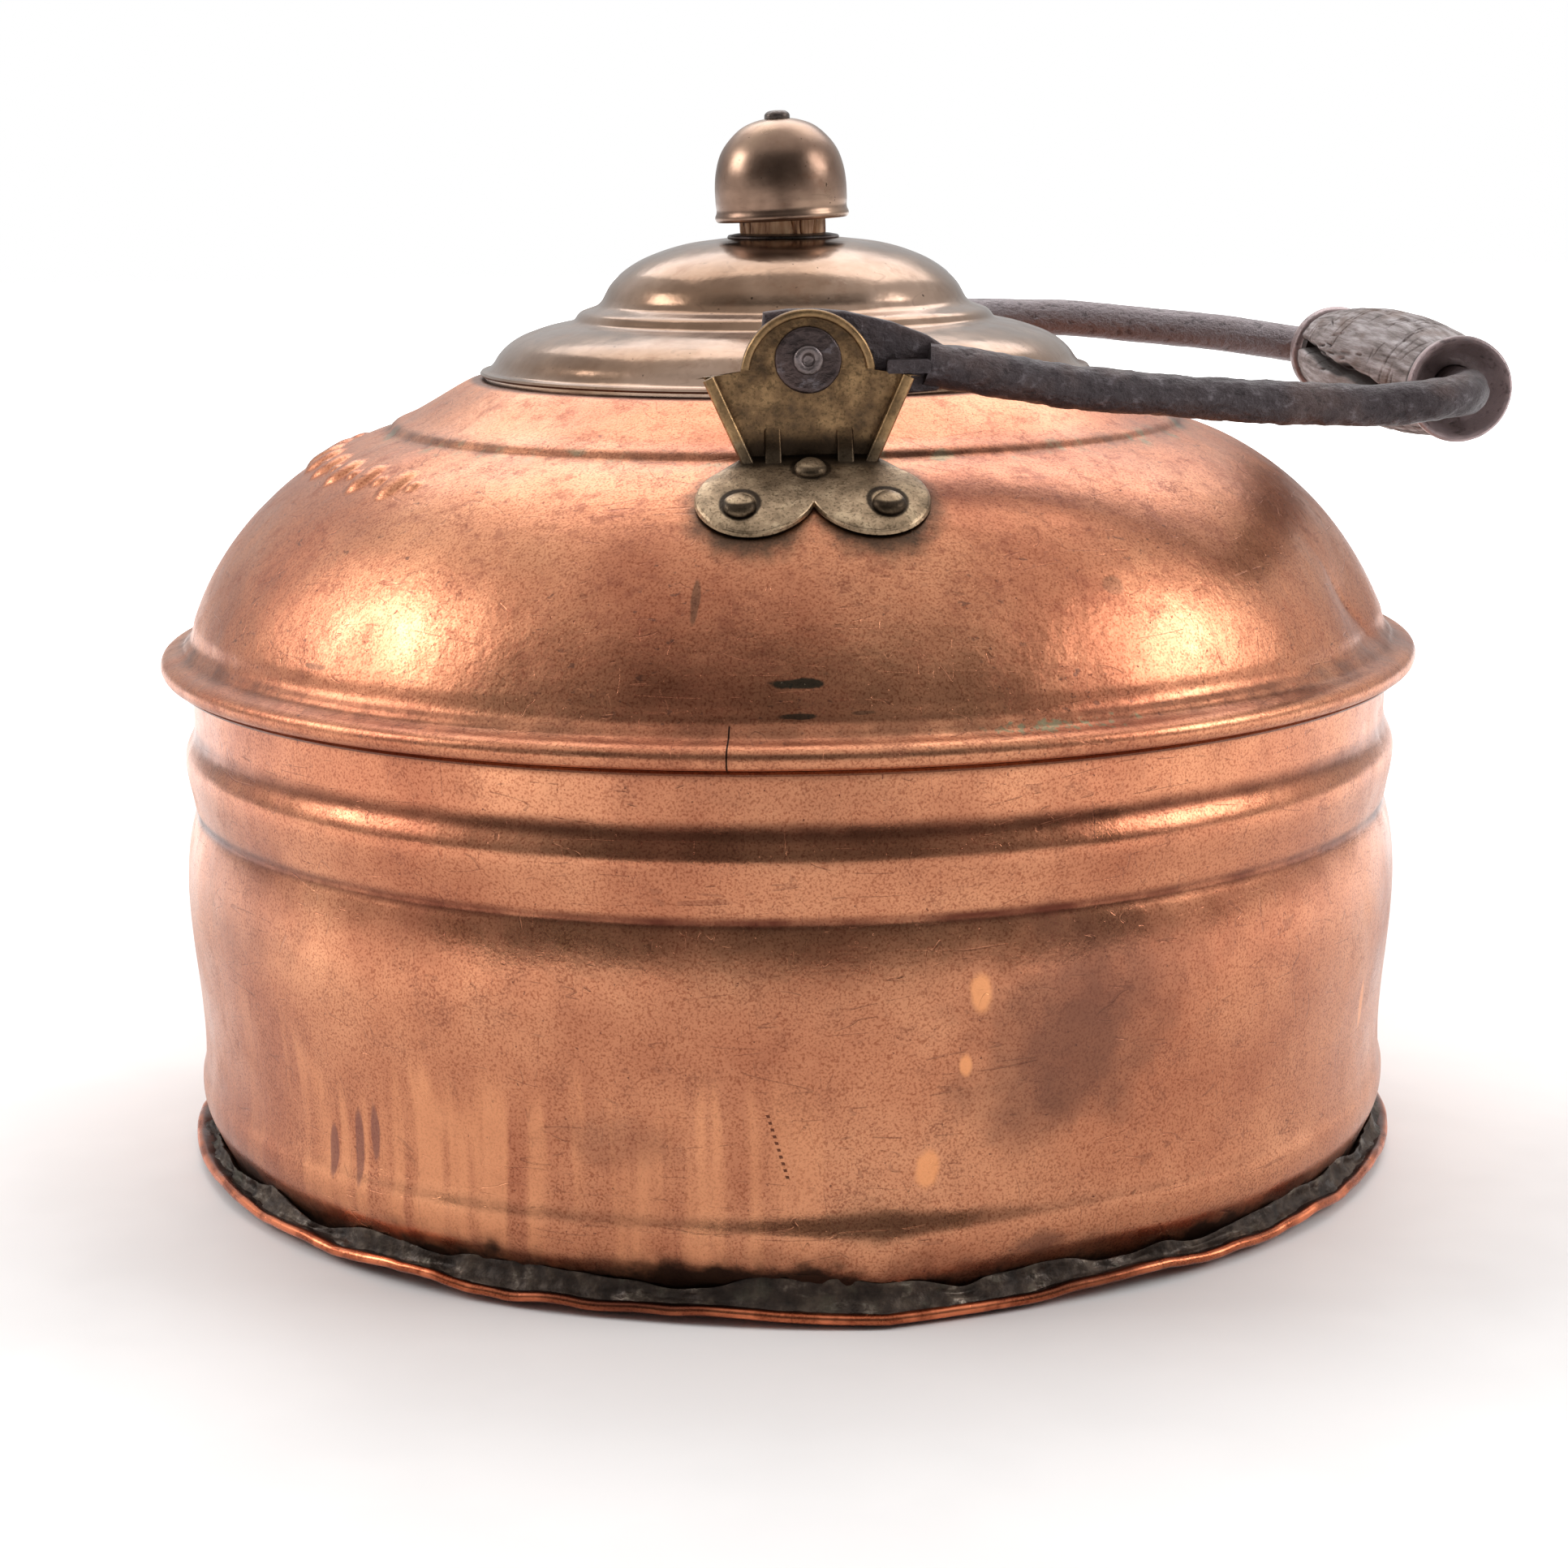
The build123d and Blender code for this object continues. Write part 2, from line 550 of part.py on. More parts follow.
SKIRT_FLANGE_Z = SEAT_Z + 0.1
with BuildPart() as lid_skirt:
    with BuildSketch(Plane.XY.offset(SKIRT_FLANGE_Z)):
        Circle(LID_R - 0.9)
        Circle(SKIRT_R - SKIRT_SHEET, mode=Mode.SUBTRACT)
    extrude(amount=LID_Z - SKIRT_FLANGE_Z)
    with BuildSketch(Plane.XY.offset(SKIRT_FLANGE_Z - SKIRT_DEPTH)):
        Circle(SKIRT_R)
        Circle(SKIRT_R - SKIRT_SHEET, mode=Mode.SUBTRACT)
    extrude(amount=SKIRT_DEPTH)
save(lid_skirt, "lid_skirt")

# ---------------------------------------------------------------- knob
WASHER_TOP_Z = LID_TOP_Z + KNOB_WASHER_T
WOOD_TOP_Z = 197.3
CAP_SHEET = 1.0

with BuildPart() as knob_washer:
    with BuildSketch(Plane.XY.offset(LID_TOP_Z)):
        Circle(KNOB_WASHER_R)
        Circle(SCREW_R + JOINT, mode=Mode.SUBTRACT)
    extrude(amount=WASHER_TOP_Z - LID_TOP_Z)
save(knob_washer, "knob_washer")

with BuildPart() as knob_neck:
    with BuildSketch(Plane.XZ):
        with BuildLine():
            Polyline(
                (SCREW_R + JOINT, WASHER_TOP_Z), (NECK_WOOD_R + 0.1, WASHER_TOP_Z), (NECK_WOOD_R, 188.0),
                (4.2, WOOD_TOP_Z), (SCREW_R + JOINT, WOOD_TOP_Z), close=True)
        make_face()
    revolve(axis=Axis.Z)
save(knob_neck, "knob_neck")

with BuildPart() as knob_cap:
    with BuildSketch(Plane.XZ):
        with BuildLine():
            Line((KNOB_R - CAP_SHEET, CAP_Z + 0.6), (KNOB_R - 1.6, CAP_Z))
            Line((KNOB_R - 1.6, CAP_Z), (KNOB_R - 0.3, CAP_Z))
            ThreePointArc((KNOB_R - 0.3, CAP_Z), (KNOB_R + 0.15, CAP_Z + 0.7), (KNOB_R - 0.1, CAP_Z + 1.5))
            ThreePointArc((KNOB_R - 0.1, CAP_Z + 1.5), (KNOB_R - 0.1, 187.0), (12.2, 190.3))
            ThreePointArc((12.2, 190.3), (9.4, 195.4), (4.2, CAP_TOP_Z - 0.35))
            Line((4.2, CAP_TOP_Z - 0.35), (3.0, CAP_TOP_Z))
            Line((3.0, CAP_TOP_Z), (SCREW_R + JOINT, CAP_TOP_Z))
            Line((SCREW_R + JOINT, CAP_TOP_Z), (SCREW_R + JOINT, WOOD_TOP_Z))
            Line((SCREW_R + JOINT, WOOD_TOP_Z), (4.4, WOOD_TOP_Z))
            ThreePointArc((4.4, WOOD_TOP_Z), (8.6, 194.6), (11.2, 190.0))
            Line((11.2, 190.0), (KNOB_R - CAP_SHEET, 186.0))
            Line((KNOB_R - CAP_SHEET, 186.0), (KNOB_R - CAP_SHEET, CAP_Z + 0.6))
        make_face()
    revolve(axis=Axis.Z)
save(knob_cap, "knob_cap")

LID_UNDER_Z = LID_TOP_Z - LID_SHEET
KNOB_BURR_T = 0.8
NUT_Z = LID_UNDER_Z - KNOB_BURR_T - NUT_T
with BuildPart() as knob_screw:
    with BuildSketch(Plane.XY.offset(NUT_Z - THREAD_END)):
        Circle(SCREW_R)
    extrude(amount=CAP_TOP_Z - NUT_Z + THREAD_END)
    with BuildSketch(Plane.XY.offset(CAP_TOP_Z)):
        Circle(SCREW_HEAD_R)
    extrude(amount=SCREW_HEAD_T)
    fillet(knob_screw.edges().group_by(Axis.Z)[-1], 0.9)
save(knob_screw, "knob_screw")

with BuildPart() as knob_burr:
    with BuildSketch(Plane.XY.offset(LID_UNDER_Z - KNOB_BURR_T)):
        Circle(KNOB_BURR_R)
        Circle(SCREW_R + JOINT, mode=Mode.SUBTRACT)
    extrude(amount=KNOB_BURR_T)
save(knob_burr, "knob_burr")

with BuildPart() as knob_nut:
    with BuildSketch(Plane.XY.offset(NUT_Z)):
        Rectangle(NUT_SIDE, NUT_SIDE)
        Circle(SCREW_R + JOINT, mode=Mode.SUBTRACT)
    extrude(amount=NUT_T)
    chamfer(knob_nut.edges().filter_by(Axis.Z), 0.5)
save(knob_nut, "knob_nut")
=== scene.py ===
from math import cos, hypot, pi, radians, sin, sqrt

import bmesh
import bpy
import numpy as np
from mathutils import Matrix, Vector


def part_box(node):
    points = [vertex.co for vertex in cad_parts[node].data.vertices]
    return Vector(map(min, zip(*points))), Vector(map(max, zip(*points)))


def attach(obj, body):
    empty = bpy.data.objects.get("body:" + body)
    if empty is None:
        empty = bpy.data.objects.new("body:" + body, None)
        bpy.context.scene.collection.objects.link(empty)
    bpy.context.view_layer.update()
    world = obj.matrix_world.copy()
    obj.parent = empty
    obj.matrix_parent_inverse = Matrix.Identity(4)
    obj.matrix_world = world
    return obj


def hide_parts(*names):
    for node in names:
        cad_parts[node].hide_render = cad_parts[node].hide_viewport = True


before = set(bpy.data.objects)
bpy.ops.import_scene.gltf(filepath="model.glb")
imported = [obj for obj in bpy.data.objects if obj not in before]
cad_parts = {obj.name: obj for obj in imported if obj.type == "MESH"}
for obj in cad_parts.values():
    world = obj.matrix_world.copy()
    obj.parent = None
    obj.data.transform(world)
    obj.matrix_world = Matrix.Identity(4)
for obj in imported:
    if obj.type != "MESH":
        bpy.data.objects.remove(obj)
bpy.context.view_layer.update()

# Looks of the copper stove kettle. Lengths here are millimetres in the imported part's frame, and MM
# turns them into metres. Turns about the kettle are degrees from the side away from the spout (-Y)
# towards the resting handle (+X).
MM = 0.001


def reach(node, axis):
    """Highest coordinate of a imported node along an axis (0, 1 or 2), in millimetres."""
    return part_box(node)[1][axis] / MM


# ------------------------------------------------------------------ sizes
RIM_R = reach("shoulder_dome", 0)       # rolled rim
SEAT_Z = reach("shoulder_dome", 2)      # seat under the lid
WALL_R = 117.9                          # straight wall
COPPER_T = 1.0                          # copper sheet
DOME_ARC_R, DOME_ARC_Z, DOME_ARC = 60.4, 83.5, 59.9    # centre and radius of the dome's arc
FOOT_GAP = 0.1                          # ear foot above the dome
EAR_Y, EAR_T = 77.25, 1.5               # upright ear plate, inner face and sheet
RIVETS = [(-12.4, -92.2), (12.4, -92.2), (0.0, -83.7)]
RIVET_R, RIVET_HEAD_R = 1.5, 2.8
PIVOT_Z = 158.3                         # handle pivot
PIN_R = 1.95
FLAT_Y, FLAT_T = 73.9, 3.0              # handle's flattened ends, inner face and thickness
BAIL_DROOP = 4.3                        # resting handle below level, in degrees
ROD_R = 4.0
GRIP_X, GRIP_Z = 120.5, 149.3           # grip's axis at rest
WOOD_HALF, WOOD_R, WOOD_END_R = 47.6, 11.5, 8.8
GRIP_HALF, FERRULE_R = 50.8, 9.65
LID_TOP_Z = 176.4                       # flat under the knob
KNOB_TILT = 2.4                         # the knob leans away from the handle, in degrees
SPOUT_Z = 44.0                          # centre of the spout's root

KEEL_TURN = 4.4                         # where the base was knocked into a blunt keel


# ------------------------------------------------------------------ numbers over points
def smoothstep(low, high, value):
    """0 at low, 1 at high, with soft ends."""
    t = np.clip((value - low) / (high - low), 0, 1)
    return t * t * (3 - 2 * t)


def hill(value, centre, width):
    """Bell of height 1 about centre."""
    return np.exp(-((value - centre) / width) ** 2)


def from_turn(turn, centre):
    """Degrees from centre to turn, the short way round."""
    return (turn - centre + 180) % 360 - 180


def lattice(cell, seed):
    """One fixed random value from -1 to 1 for each whole-number cell."""
    mixed = cell[..., 0] * 73856093 ^ cell[..., 1] * 19349663 ^ cell[..., 2] * 83492791 ^ seed * 2654435
    mixed = (mixed ^ mixed >> 13) * 1274126177 & 0x7FFFFFFF
    mixed = (mixed ^ mixed >> 15) * 668265263 & 0x7FFFFFFF
    return (mixed >> 8 & 0xFFFF) / 32767.5 - 1


def noise(points, size, seed=0, octaves=2):
    """Smooth random values from about -1 to 1, with lumps about size wide."""
    total = np.zeros(points.shape[:-1])
    for octave in range(octaves):
        spot = points / size * 2 ** octave + 37.7 * octave
        cell = np.floor(spot).astype(np.int64)
        part = spot - cell
        part = part * part * (3 - 2 * part)
        for corner in np.ndindex(2, 2, 2):
            step = np.array(corner)
            weight = np.prod(np.where(step == 1, part, 1 - part), axis=-1)
            total += weight * lattice(cell + step, seed + octave) / 2 ** octave
    return total


def smooth_line(points, step=0.8):
    """Points about step apart on a smooth line through the given ones. A point given twice is a corner."""
    runs = [[points[0]]]
    for before, after in zip(points, points[1:]):
        if before == after:
            runs.append([after])
        else:
            runs[-1].append(after)
    line = []
    for run in runs:
        run = np.array(run, float)
        gaps = np.linalg.norm(np.diff(run, axis=0), axis=1)[:, None]
        slopes = np.diff(run, axis=0) / gaps
        middle = (slopes[:-1] * gaps[1:] + slopes[1:] * gaps[:-1]) / (gaps[1:] + gaps[:-1])
        tangents = np.vstack([slopes[:1], middle, slopes[-1:]])
        for i, gap in enumerate(gaps[:, 0]):
            t = np.linspace(0, 1, max(2, round(gap / step) + 1))[:-1, None]
            line.append(
                (2 * t ** 3 - 3 * t ** 2 + 1) * run[i] + (t ** 3 - 2 * t ** 2 + t) * gap * tangents[i]
                + (3 * t ** 2 - 2 * t ** 3) * run[i + 1] + (t ** 3 - t ** 2) * gap * tangents[i + 1])
        last = run[-1:]
    line.append(last)
    return np.vstack(line)


def shell_loop(line, thickness):
    """Closed section of a sheet: the line, and a coarser one moved to its left by the thickness."""
    along = np.gradient(line, axis=0)
    along /= np.linalg.norm(along, axis=1)[:, None]
    inner = line + thickness * np.stack([-along[:, 1], along[:, 0]], axis=1)
    return np.vstack([line, inner[:0:-3], inner[:1]])


PATH_STEP = 0.7             # spacing of the points along a bent rod
BOX_STEPS = 4               # segments in each corner of a rounded box


def rounded_path(corners, bends):
    """Points along straight runs joined by tangent arcs, one bend radius for each inner corner."""
    corners = [Vector(c) for c in corners]
    path = [corners[0]]
    for before, corner, after, bend in zip(corners, corners[1:], corners[2:], bends):
        back = (before - corner).normalized()
        ahead = (after - corner).normalized()
        half = back.angle(ahead) / 2
        centre = corner + (back + ahead).normalized() * (bend / sin(half))
        start = corner + back * (bend / np.tan(half)) - centre
        end = corner + ahead * (bend / np.tan(half)) - centre
        count = max(4, round(start.angle(end) * bend / PATH_STEP))
        path += [centre + start.slerp(end, i / count).normalized() * bend for i in range(count + 1)]
    path.append(corners[-1])
    points = [path[0]]
    for target in path[1:]:
        gap = (target - points[-1]).length
        count = max(1, round(gap / PATH_STEP))
        origin = points[-1]
        points += [origin.lerp(target, (i + 1) / count) for i in range(count)]
    return np.array([list(p) for p in points])


# ------------------------------------------------------------------ meshes
def solid(name, points, faces, sharp=40):
    """Object from points in millimetres: doubles welded, normals outward, smooth up to the sharp angle."""
    mesh = bpy.data.meshes.new(name)
    mesh.from_pydata((np.asarray(points) * MM).tolist(), [], faces)
    work = bmesh.new()
    work.from_mesh(mesh)
    bmesh.ops.remove_doubles(work, verts=work.verts, dist=0.002 * MM)
    bmesh.ops.recalc_face_normals(work, faces=work.faces)
    work.to_mesh(mesh)
    work.free()
    mesh.shade_smooth()
    mesh.set_sharp_from_angle(angle=radians(sharp))
    obj = bpy.data.objects.new(name, mesh)
    bpy.context.scene.collection.objects.link(obj)
    return obj


def quads(rows, cols, wrap_rows=True, wrap_cols=True, first=0):
    """Faces over a grid of points, closed round where wrapped."""
    index = first + np.arange(rows * cols).reshape(rows, cols)
    u = np.arange(rows if wrap_rows else rows - 1)
    v = np.arange(cols if wrap_cols else cols - 1)
    here, there = index[u], index[(u + 1) % rows]
    right = (v + 1) % cols
    return np.stack([here[:, v], there[:, v], there[:, right], here[:, right]], -1).reshape(-1,
            4).tolist()


def ring_grid(loop, segments, warp=None):
    """Grid of a section loop turned about the kettle's axis in even segments, or at the given turns.
    warp(turn, r, z) gives the new r and z."""
    turn = np.linspace(0, 360, segments, endpoint=False) if np.isscalar(segments) else segments
    turn = turn[:, None]
    r = loop[:, 0] + 0 * turn
    z = loop[:, 1] + 0 * turn
    if warp:
        r, z = warp(turn, r, z)
    return np.stack([r * np.sin(np.radians(turn)), -r * np.cos(np.radians(turn)), z], -1)


def lathe(name, loop, segments, warp=None, sharp=40):
    """Solid of revolution about the kettle's axis, warped by hand marks."""
    grid = ring_grid(loop, segments, warp)
    return solid(name, grid.reshape(-1, 3), quads(*grid.shape[:2]), sharp)


def stand(obj, origin, axis):
    """Turn an object made about the Z axis so that it lies along axis with its zero at origin."""
    turn = Vector((0, 0, 1)).rotation_difference(Vector(axis)).to_matrix().to_4x4()
    obj.data.transform(Matrix.Translation(Vector(origin) * MM) @ turn)
    return obj


def tube(name, path, section, warp=None):
    """Solid swept along path. section(i) gives the loop of (side, up) offsets at the path's point i."""
    ahead = np.gradient(path, axis=0)
    ahead /= np.linalg.norm(ahead, axis=1)[:, None]
    up = np.array([0.0, 0.0, 1.0])
    rows = []
    for i, (point, way) in enumerate(zip(path, ahead)):
        up = up - way * up.dot(way)
        up /= np.linalg.norm(up)
        loop = section(i)
        rows.append(point + loop[:, :1] * np.cross(way, up) + loop[:, 1:] * up)
    grid = np.array(rows)
    if warp:
        grid = warp(grid, path)
    faces = quads(*grid.shape[:2], wrap_rows=False)
    last = grid.shape[0] * grid.shape[1]
    faces += [list(range(grid.shape[1])), list(range(last - grid.shape[1], last))]
    return solid(name, grid.reshape(-1, 3), faces)


def circle(radius, count=40):
    """Loop of offsets round a circle."""
    angle = np.linspace(0, 2 * pi, count, endpoint=False)
    return np.stack([radius * np.cos(angle), radius * np.sin(angle)], 1)


def rounded_box(width, height, bevel):
    """Loop of a rectangle with rounded corners, centred on zero."""
    loop = []
    for quarter, (sx, sy) in enumerate([(1, 1), (-1, 1), (-1, -1), (1, -1)]):
        for i in range(BOX_STEPS + 1):
            angle = (quarter + i / BOX_STEPS) * pi / 2
            loop.append((
                sx * (width / 2 - bevel) + bevel * cos(angle),
                sy * (height / 2 - bevel) + bevel * sin(angle)))
    return np.array(loop)


def plate(name, outline, holes, thickness, bevel, place):
    """Flat plate with rounded edges. place maps its (a, b, depth) millimetres into the frame."""
    curve = bpy.data.curves.new(name, "CURVE")
    curve.dimensions = "2D"
    curve.fill_mode = "BOTH"
    curve.extrude = thickness / 2 - bevel
    curve.bevel_depth = bevel
    curve.bevel_resolution = 3
    curve.offset = -bevel
    for loop in [outline] + holes:
        spline = curve.splines.new("POLY")
        spline.points.add(len(loop) - 1)
        for point, (a, b) in zip(spline.points, loop):
            point.co = (a, b, 0, 1)
        spline.use_cyclic_u = True
    shape = bpy.data.objects.new(name, curve)
    bpy.context.scene.collection.objects.link(shape)
    flat = bpy.data.meshes.new_from_object(shape.evaluated_get(bpy.context.evaluated_depsgraph_get()))
    points = [place(*v.co) for v in flat.vertices]
    faces = [list(p.vertices) for p in flat.polygons]
    bpy.data.objects.remove(shape)
    bpy.data.curves.remove(curve)
    bpy.data.meshes.remove(flat)
    return solid(name, points, faces, sharp=50)


def joined(name, objects):
    """One object from several, which go."""
    work = bmesh.new()
    for obj in objects:
        work.from_mesh(obj.data)
    mesh = bpy.data.meshes.new(name)
    work.to_mesh(mesh)
    work.free()
    for obj in objects:
        bpy.data.meshes.remove(obj.data)
    mesh.set_sharp_from_angle(angle=radians(45))
    whole = bpy.data.objects.new(name, mesh)
    bpy.context.scene.collection.objects.link(whole)
    return whole


def mirrored(obj, name):
    """Copy of an object on the other side of the kettle, in Y."""
    twin = bpy.data.objects.new(name, obj.data.copy())
    twin.data.transform(Matrix.Diagonal((1, -1, 1, 1)))
    twin.data.flip_normals()
    bpy.context.scene.collection.objects.link(twin)
    return twin


def put(obj, material, body, slot, *nodes):
    """Give a piece its material and its body, and hide the nodes that it stands for. The slot is not used.
    """
    obj.data.materials.clear()
    obj.data.materials.append(material)
    if nodes:
        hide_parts(*nodes)
    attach(obj, body)


# ------------------------------------------------------------------ material helper
def colour(red, green, blue):
    """Linear colour from the usual 0 to 255 values."""
    channels = [c / 255 for c in (red, green, blue)]
    return tuple(c / 12.92 if c < 0.04045 else ((c + 0.055) / 1.055) ** 2.4 for c in channels) + (1.0,)


class Shader:
    """Builds one procedural material over the object's own coordinates, in metres."""

    def __init__(self, name, metallic, **sockets):
        self.material = bpy.data.materials.new(name)
        self.material.use_nodes = True
        self.nodes = self.material.node_tree.nodes
        self.links = self.material.node_tree.links
        self.surface = self.nodes["Principled BSDF"]
        self.surface.inputs["Metallic"].default_value = metallic
        for socket, value in sockets.items():
            self.surface.inputs[socket.replace("_", " ")].default_value = value
        self.at = self.add("ShaderNodeTexCoord").outputs["Object"]
        self.x, self.y, self.z = self.apart(self.at)
        self.radius = self.math("SQRT", self.math("ADD", self.math("MULTIPLY", self.x, self.x),
                                                  self.math("MULTIPLY", self.y, self.y)))
        self.turn = self.math("ARCTAN2", self.x, self.math("MULTIPLY", self.y, -1.0))
        self.height = None
        self.tone = None

    def add(self, kind, **settings):
        node = self.nodes.new(kind)
        for key, value in settings.items():
            setattr(node, key, value)
        return node

    def feed(self, socket, value):
        if isinstance(value, bpy.types.NodeSocket):
            self.links.new(value, socket)
        else:
            socket.default_value = value

    def apart(self, vector):
        node = self.add("ShaderNodeSeparateXYZ")
        self.feed(node.inputs[0], vector)
        return node.outputs

    def math(self, operation, a, b=0.0):
        node = self.add("ShaderNodeMath", operation=operation)
        self.feed(node.inputs[0], a)
        self.feed(node.inputs[1], b)
        return node.outputs[0]

    def noise(self, size, detail=3.0, stretch=(1, 1, 1), shift=0.0, rough=0.55, twist=0.0):
        """Noise with lumps about size millimetres wide, longer along the axes stretched."""
        mapping = self.add("ShaderNodeMapping")
        self.feed(mapping.inputs["Vector"], self.at)
        mapping.inputs["Location"].default_value = (shift, shift * 0.7, shift * 1.3)
        mapping.inputs["Scale"].default_value = [1 / s for s in stretch]
        node = self.add("ShaderNodeTexNoise")
        self.feed(node.inputs["Vector"], mapping.outputs[0])
        node.inputs["Scale"].default_value = 1 / (size * MM)
        node.inputs["Detail"].default_value = detail
        node.inputs["Roughness"].default_value = rough
        node.inputs["Distortion"].default_value = twist
        return node.outputs[0]

    def fade(self, value, low, high):
        """0 where value is at low, 1 where it is at high."""
        node = self.add("ShaderNodeMapRange", interpolation_type="SMOOTHSTEP")
        self.feed(node.inputs["Value"], value)
        node.inputs["From Min"].default_value = low
        node.inputs["From Max"].default_value = high
        return node.outputs[0]

    def span(self, value, low, high, out_low, out_high):
        """Value from low to high taken to out_low to out_high, held at the ends."""
        node = self.add("ShaderNodeMapRange")
        self.feed(node.inputs["Value"], value)
        for socket, number in zip(("From Min", "From Max", "To Min", "To Max"),
                                  (low, high, out_low, out_high)):
            node.inputs[socket].default_value = number
        return node.outputs[0]

    def drift(self, low, high, *size, **settings):
        """Value that wanders from low to high with a noise."""
        return self.span(self.noise(*size, **settings), 0.3, 0.7, low, high)

    def ramp(self, value, *stops):
        """Colour ramp of (place, 0 to 255 colour) stops."""
        node = self.add("ShaderNodeValToRGB")
        self.feed(node.inputs[0], value)
        elements = node.color_ramp.elements
        while len(elements) < len(stops):
            elements.new(0.5)
        for element, (place, shade) in zip(elements, stops):
            element.position = place
            element.color = colour(*shade)
        return node.outputs[0]

    def mix(self, factor, a, b, blend="MIX"):
        node = self.add("ShaderNodeMix", data_type="RGBA", blend_type=blend)
        self.feed(node.inputs[0], factor)
        self.feed(node.inputs[6], a)
        self.feed(node.inputs[7], b)
        return node.outputs[2]

    def paint(self, shade, *masks):
        """Lay a 0 to 255 colour over the tone where the masks, multiplied, let it show."""
        self.tone = self.mix(self.times(*masks), self.tone, colour(*shade))

    def times(self, *values):
        total = values[0]
        for value in values[1:]:
            total = self.math("MULTIPLY", total, value)
        return total

    def band(self, value, centre, half, soft):
        """1 within half of centre, falling to 0 over soft."""
        off = self.math("ABSOLUTE", self.math("SUBTRACT", value, centre))
        return self.fade(off, half + soft, half)

    def patch(self, turn, z, half_turn, half_z, ragged=0.35, seed=0.0, soft=0.4):
        """Ragged oval patch about a turn in degrees and a height in millimetres."""
        a = self.math("DIVIDE", self.math("SUBTRACT", self.turn, radians(turn)), radians(half_turn))
        b = self.math("DIVIDE", self.math("SUBTRACT", self.z, z * MM), half_z * MM)
        away = self.math("SQRT", self.math("ADD", self.times(a, a), self.times(b, b)))
        edge = self.math("MULTIPLY", self.math("SUBTRACT", self.noise(min(half_z, 6) + 2, 5, shift=seed),
                                               0.5), ragged * 4)
        return self.fade(self.math("ADD", away, edge), 0.95 + soft / 2, 0.95 - soft / 2)

    def hairlines(self, size, stretch, width, shift, share=0.5):
        """Fine scratches: thin level lines of a stretched noise, broken up by a second one."""
        lines = self.noise(size, 1.0, stretch, shift, twist=0.4)
        thin = self.band(lines, 0.5, width, width)
        return self.times(thin, self.fade(self.noise(size * 0.8, 2.0, shift=shift + 3), share,
                                          share + 0.08))

    def raise_by(self, value, depth):
        """Add value times depth millimetres to the surface height."""
        step = self.math("MULTIPLY", value, depth * MM)
        self.height = step if self.height is None else self.math("ADD", self.height, step)

    def done(self, roughness):
        """Join up the tone, the roughness and the height."""
        self.feed(self.surface.inputs["Base Color"], self.tone)
        self.feed(self.surface.inputs["Roughness"], roughness)
        if self.height is not None:
            bump = self.add("ShaderNodeBump")
            bump.inputs["Distance"].default_value = 1.0
            self.feed(bump.inputs["Height"], self.height)
            self.feed(self.surface.inputs["Normal"], bump.outputs[0])
        return self.material


# ------------------------------------------------------------------ materials
def copper_start(name):
    """Copper with its clouds of brown patina, stipple and scratches. Returns the shader and roughness."""
    s = Shader(name, 1.0)
    cloud = s.noise(38, 6.0, rough=0.6)
    s.tone = s.ramp(cloud, (0.34, (176, 111, 83)), (0.5, (196, 131, 98)), (0.66, (213, 149, 112)))
    stipple = s.noise(0.42, 2.0)
    pale = s.mix(1.0, s.tone, colour(206, 188, 184), "MULTIPLY")
    s.tone = s.mix(s.fade(stipple, 0.44, 0.7), s.tone, pale)
    brown = s.times(s.fade(s.noise(9, 6.0, shift=2.0, rough=0.72), 0.48, 0.74), s.fade(stipple, 0.3, 0.6))
    s.paint((124, 76, 62), brown, 0.42)
    hair = s.math("MAXIMUM", s.hairlines(6, (7, 7, 1), 0.0028, 1.0),
                  s.hairlines(5, (1, 3, 5), 0.0028, 5.0, 0.54))
    specks = s.fade(s.noise(0.75, 1.0, shift=4.0), 0.74, 0.8)
    s.paint((100, 58, 50), s.math("MAXIMUM", s.times(hair, 0.3), s.times(specks, 0.7)))
    rough = s.drift(0.23, 0.36, 14, 4.0, shift=7.0)
    rough = s.math("ADD", rough, s.times(brown, 0.12))
    s.raise_by(s.noise(0.6, 2.0, shift=9.0), 0.022)
    s.raise_by(s.noise(12, 3.0, shift=11.0), 0.22)
    s.raise_by(hair, -0.03)
    s.raise_by(specks, -0.05)
    return s, rough


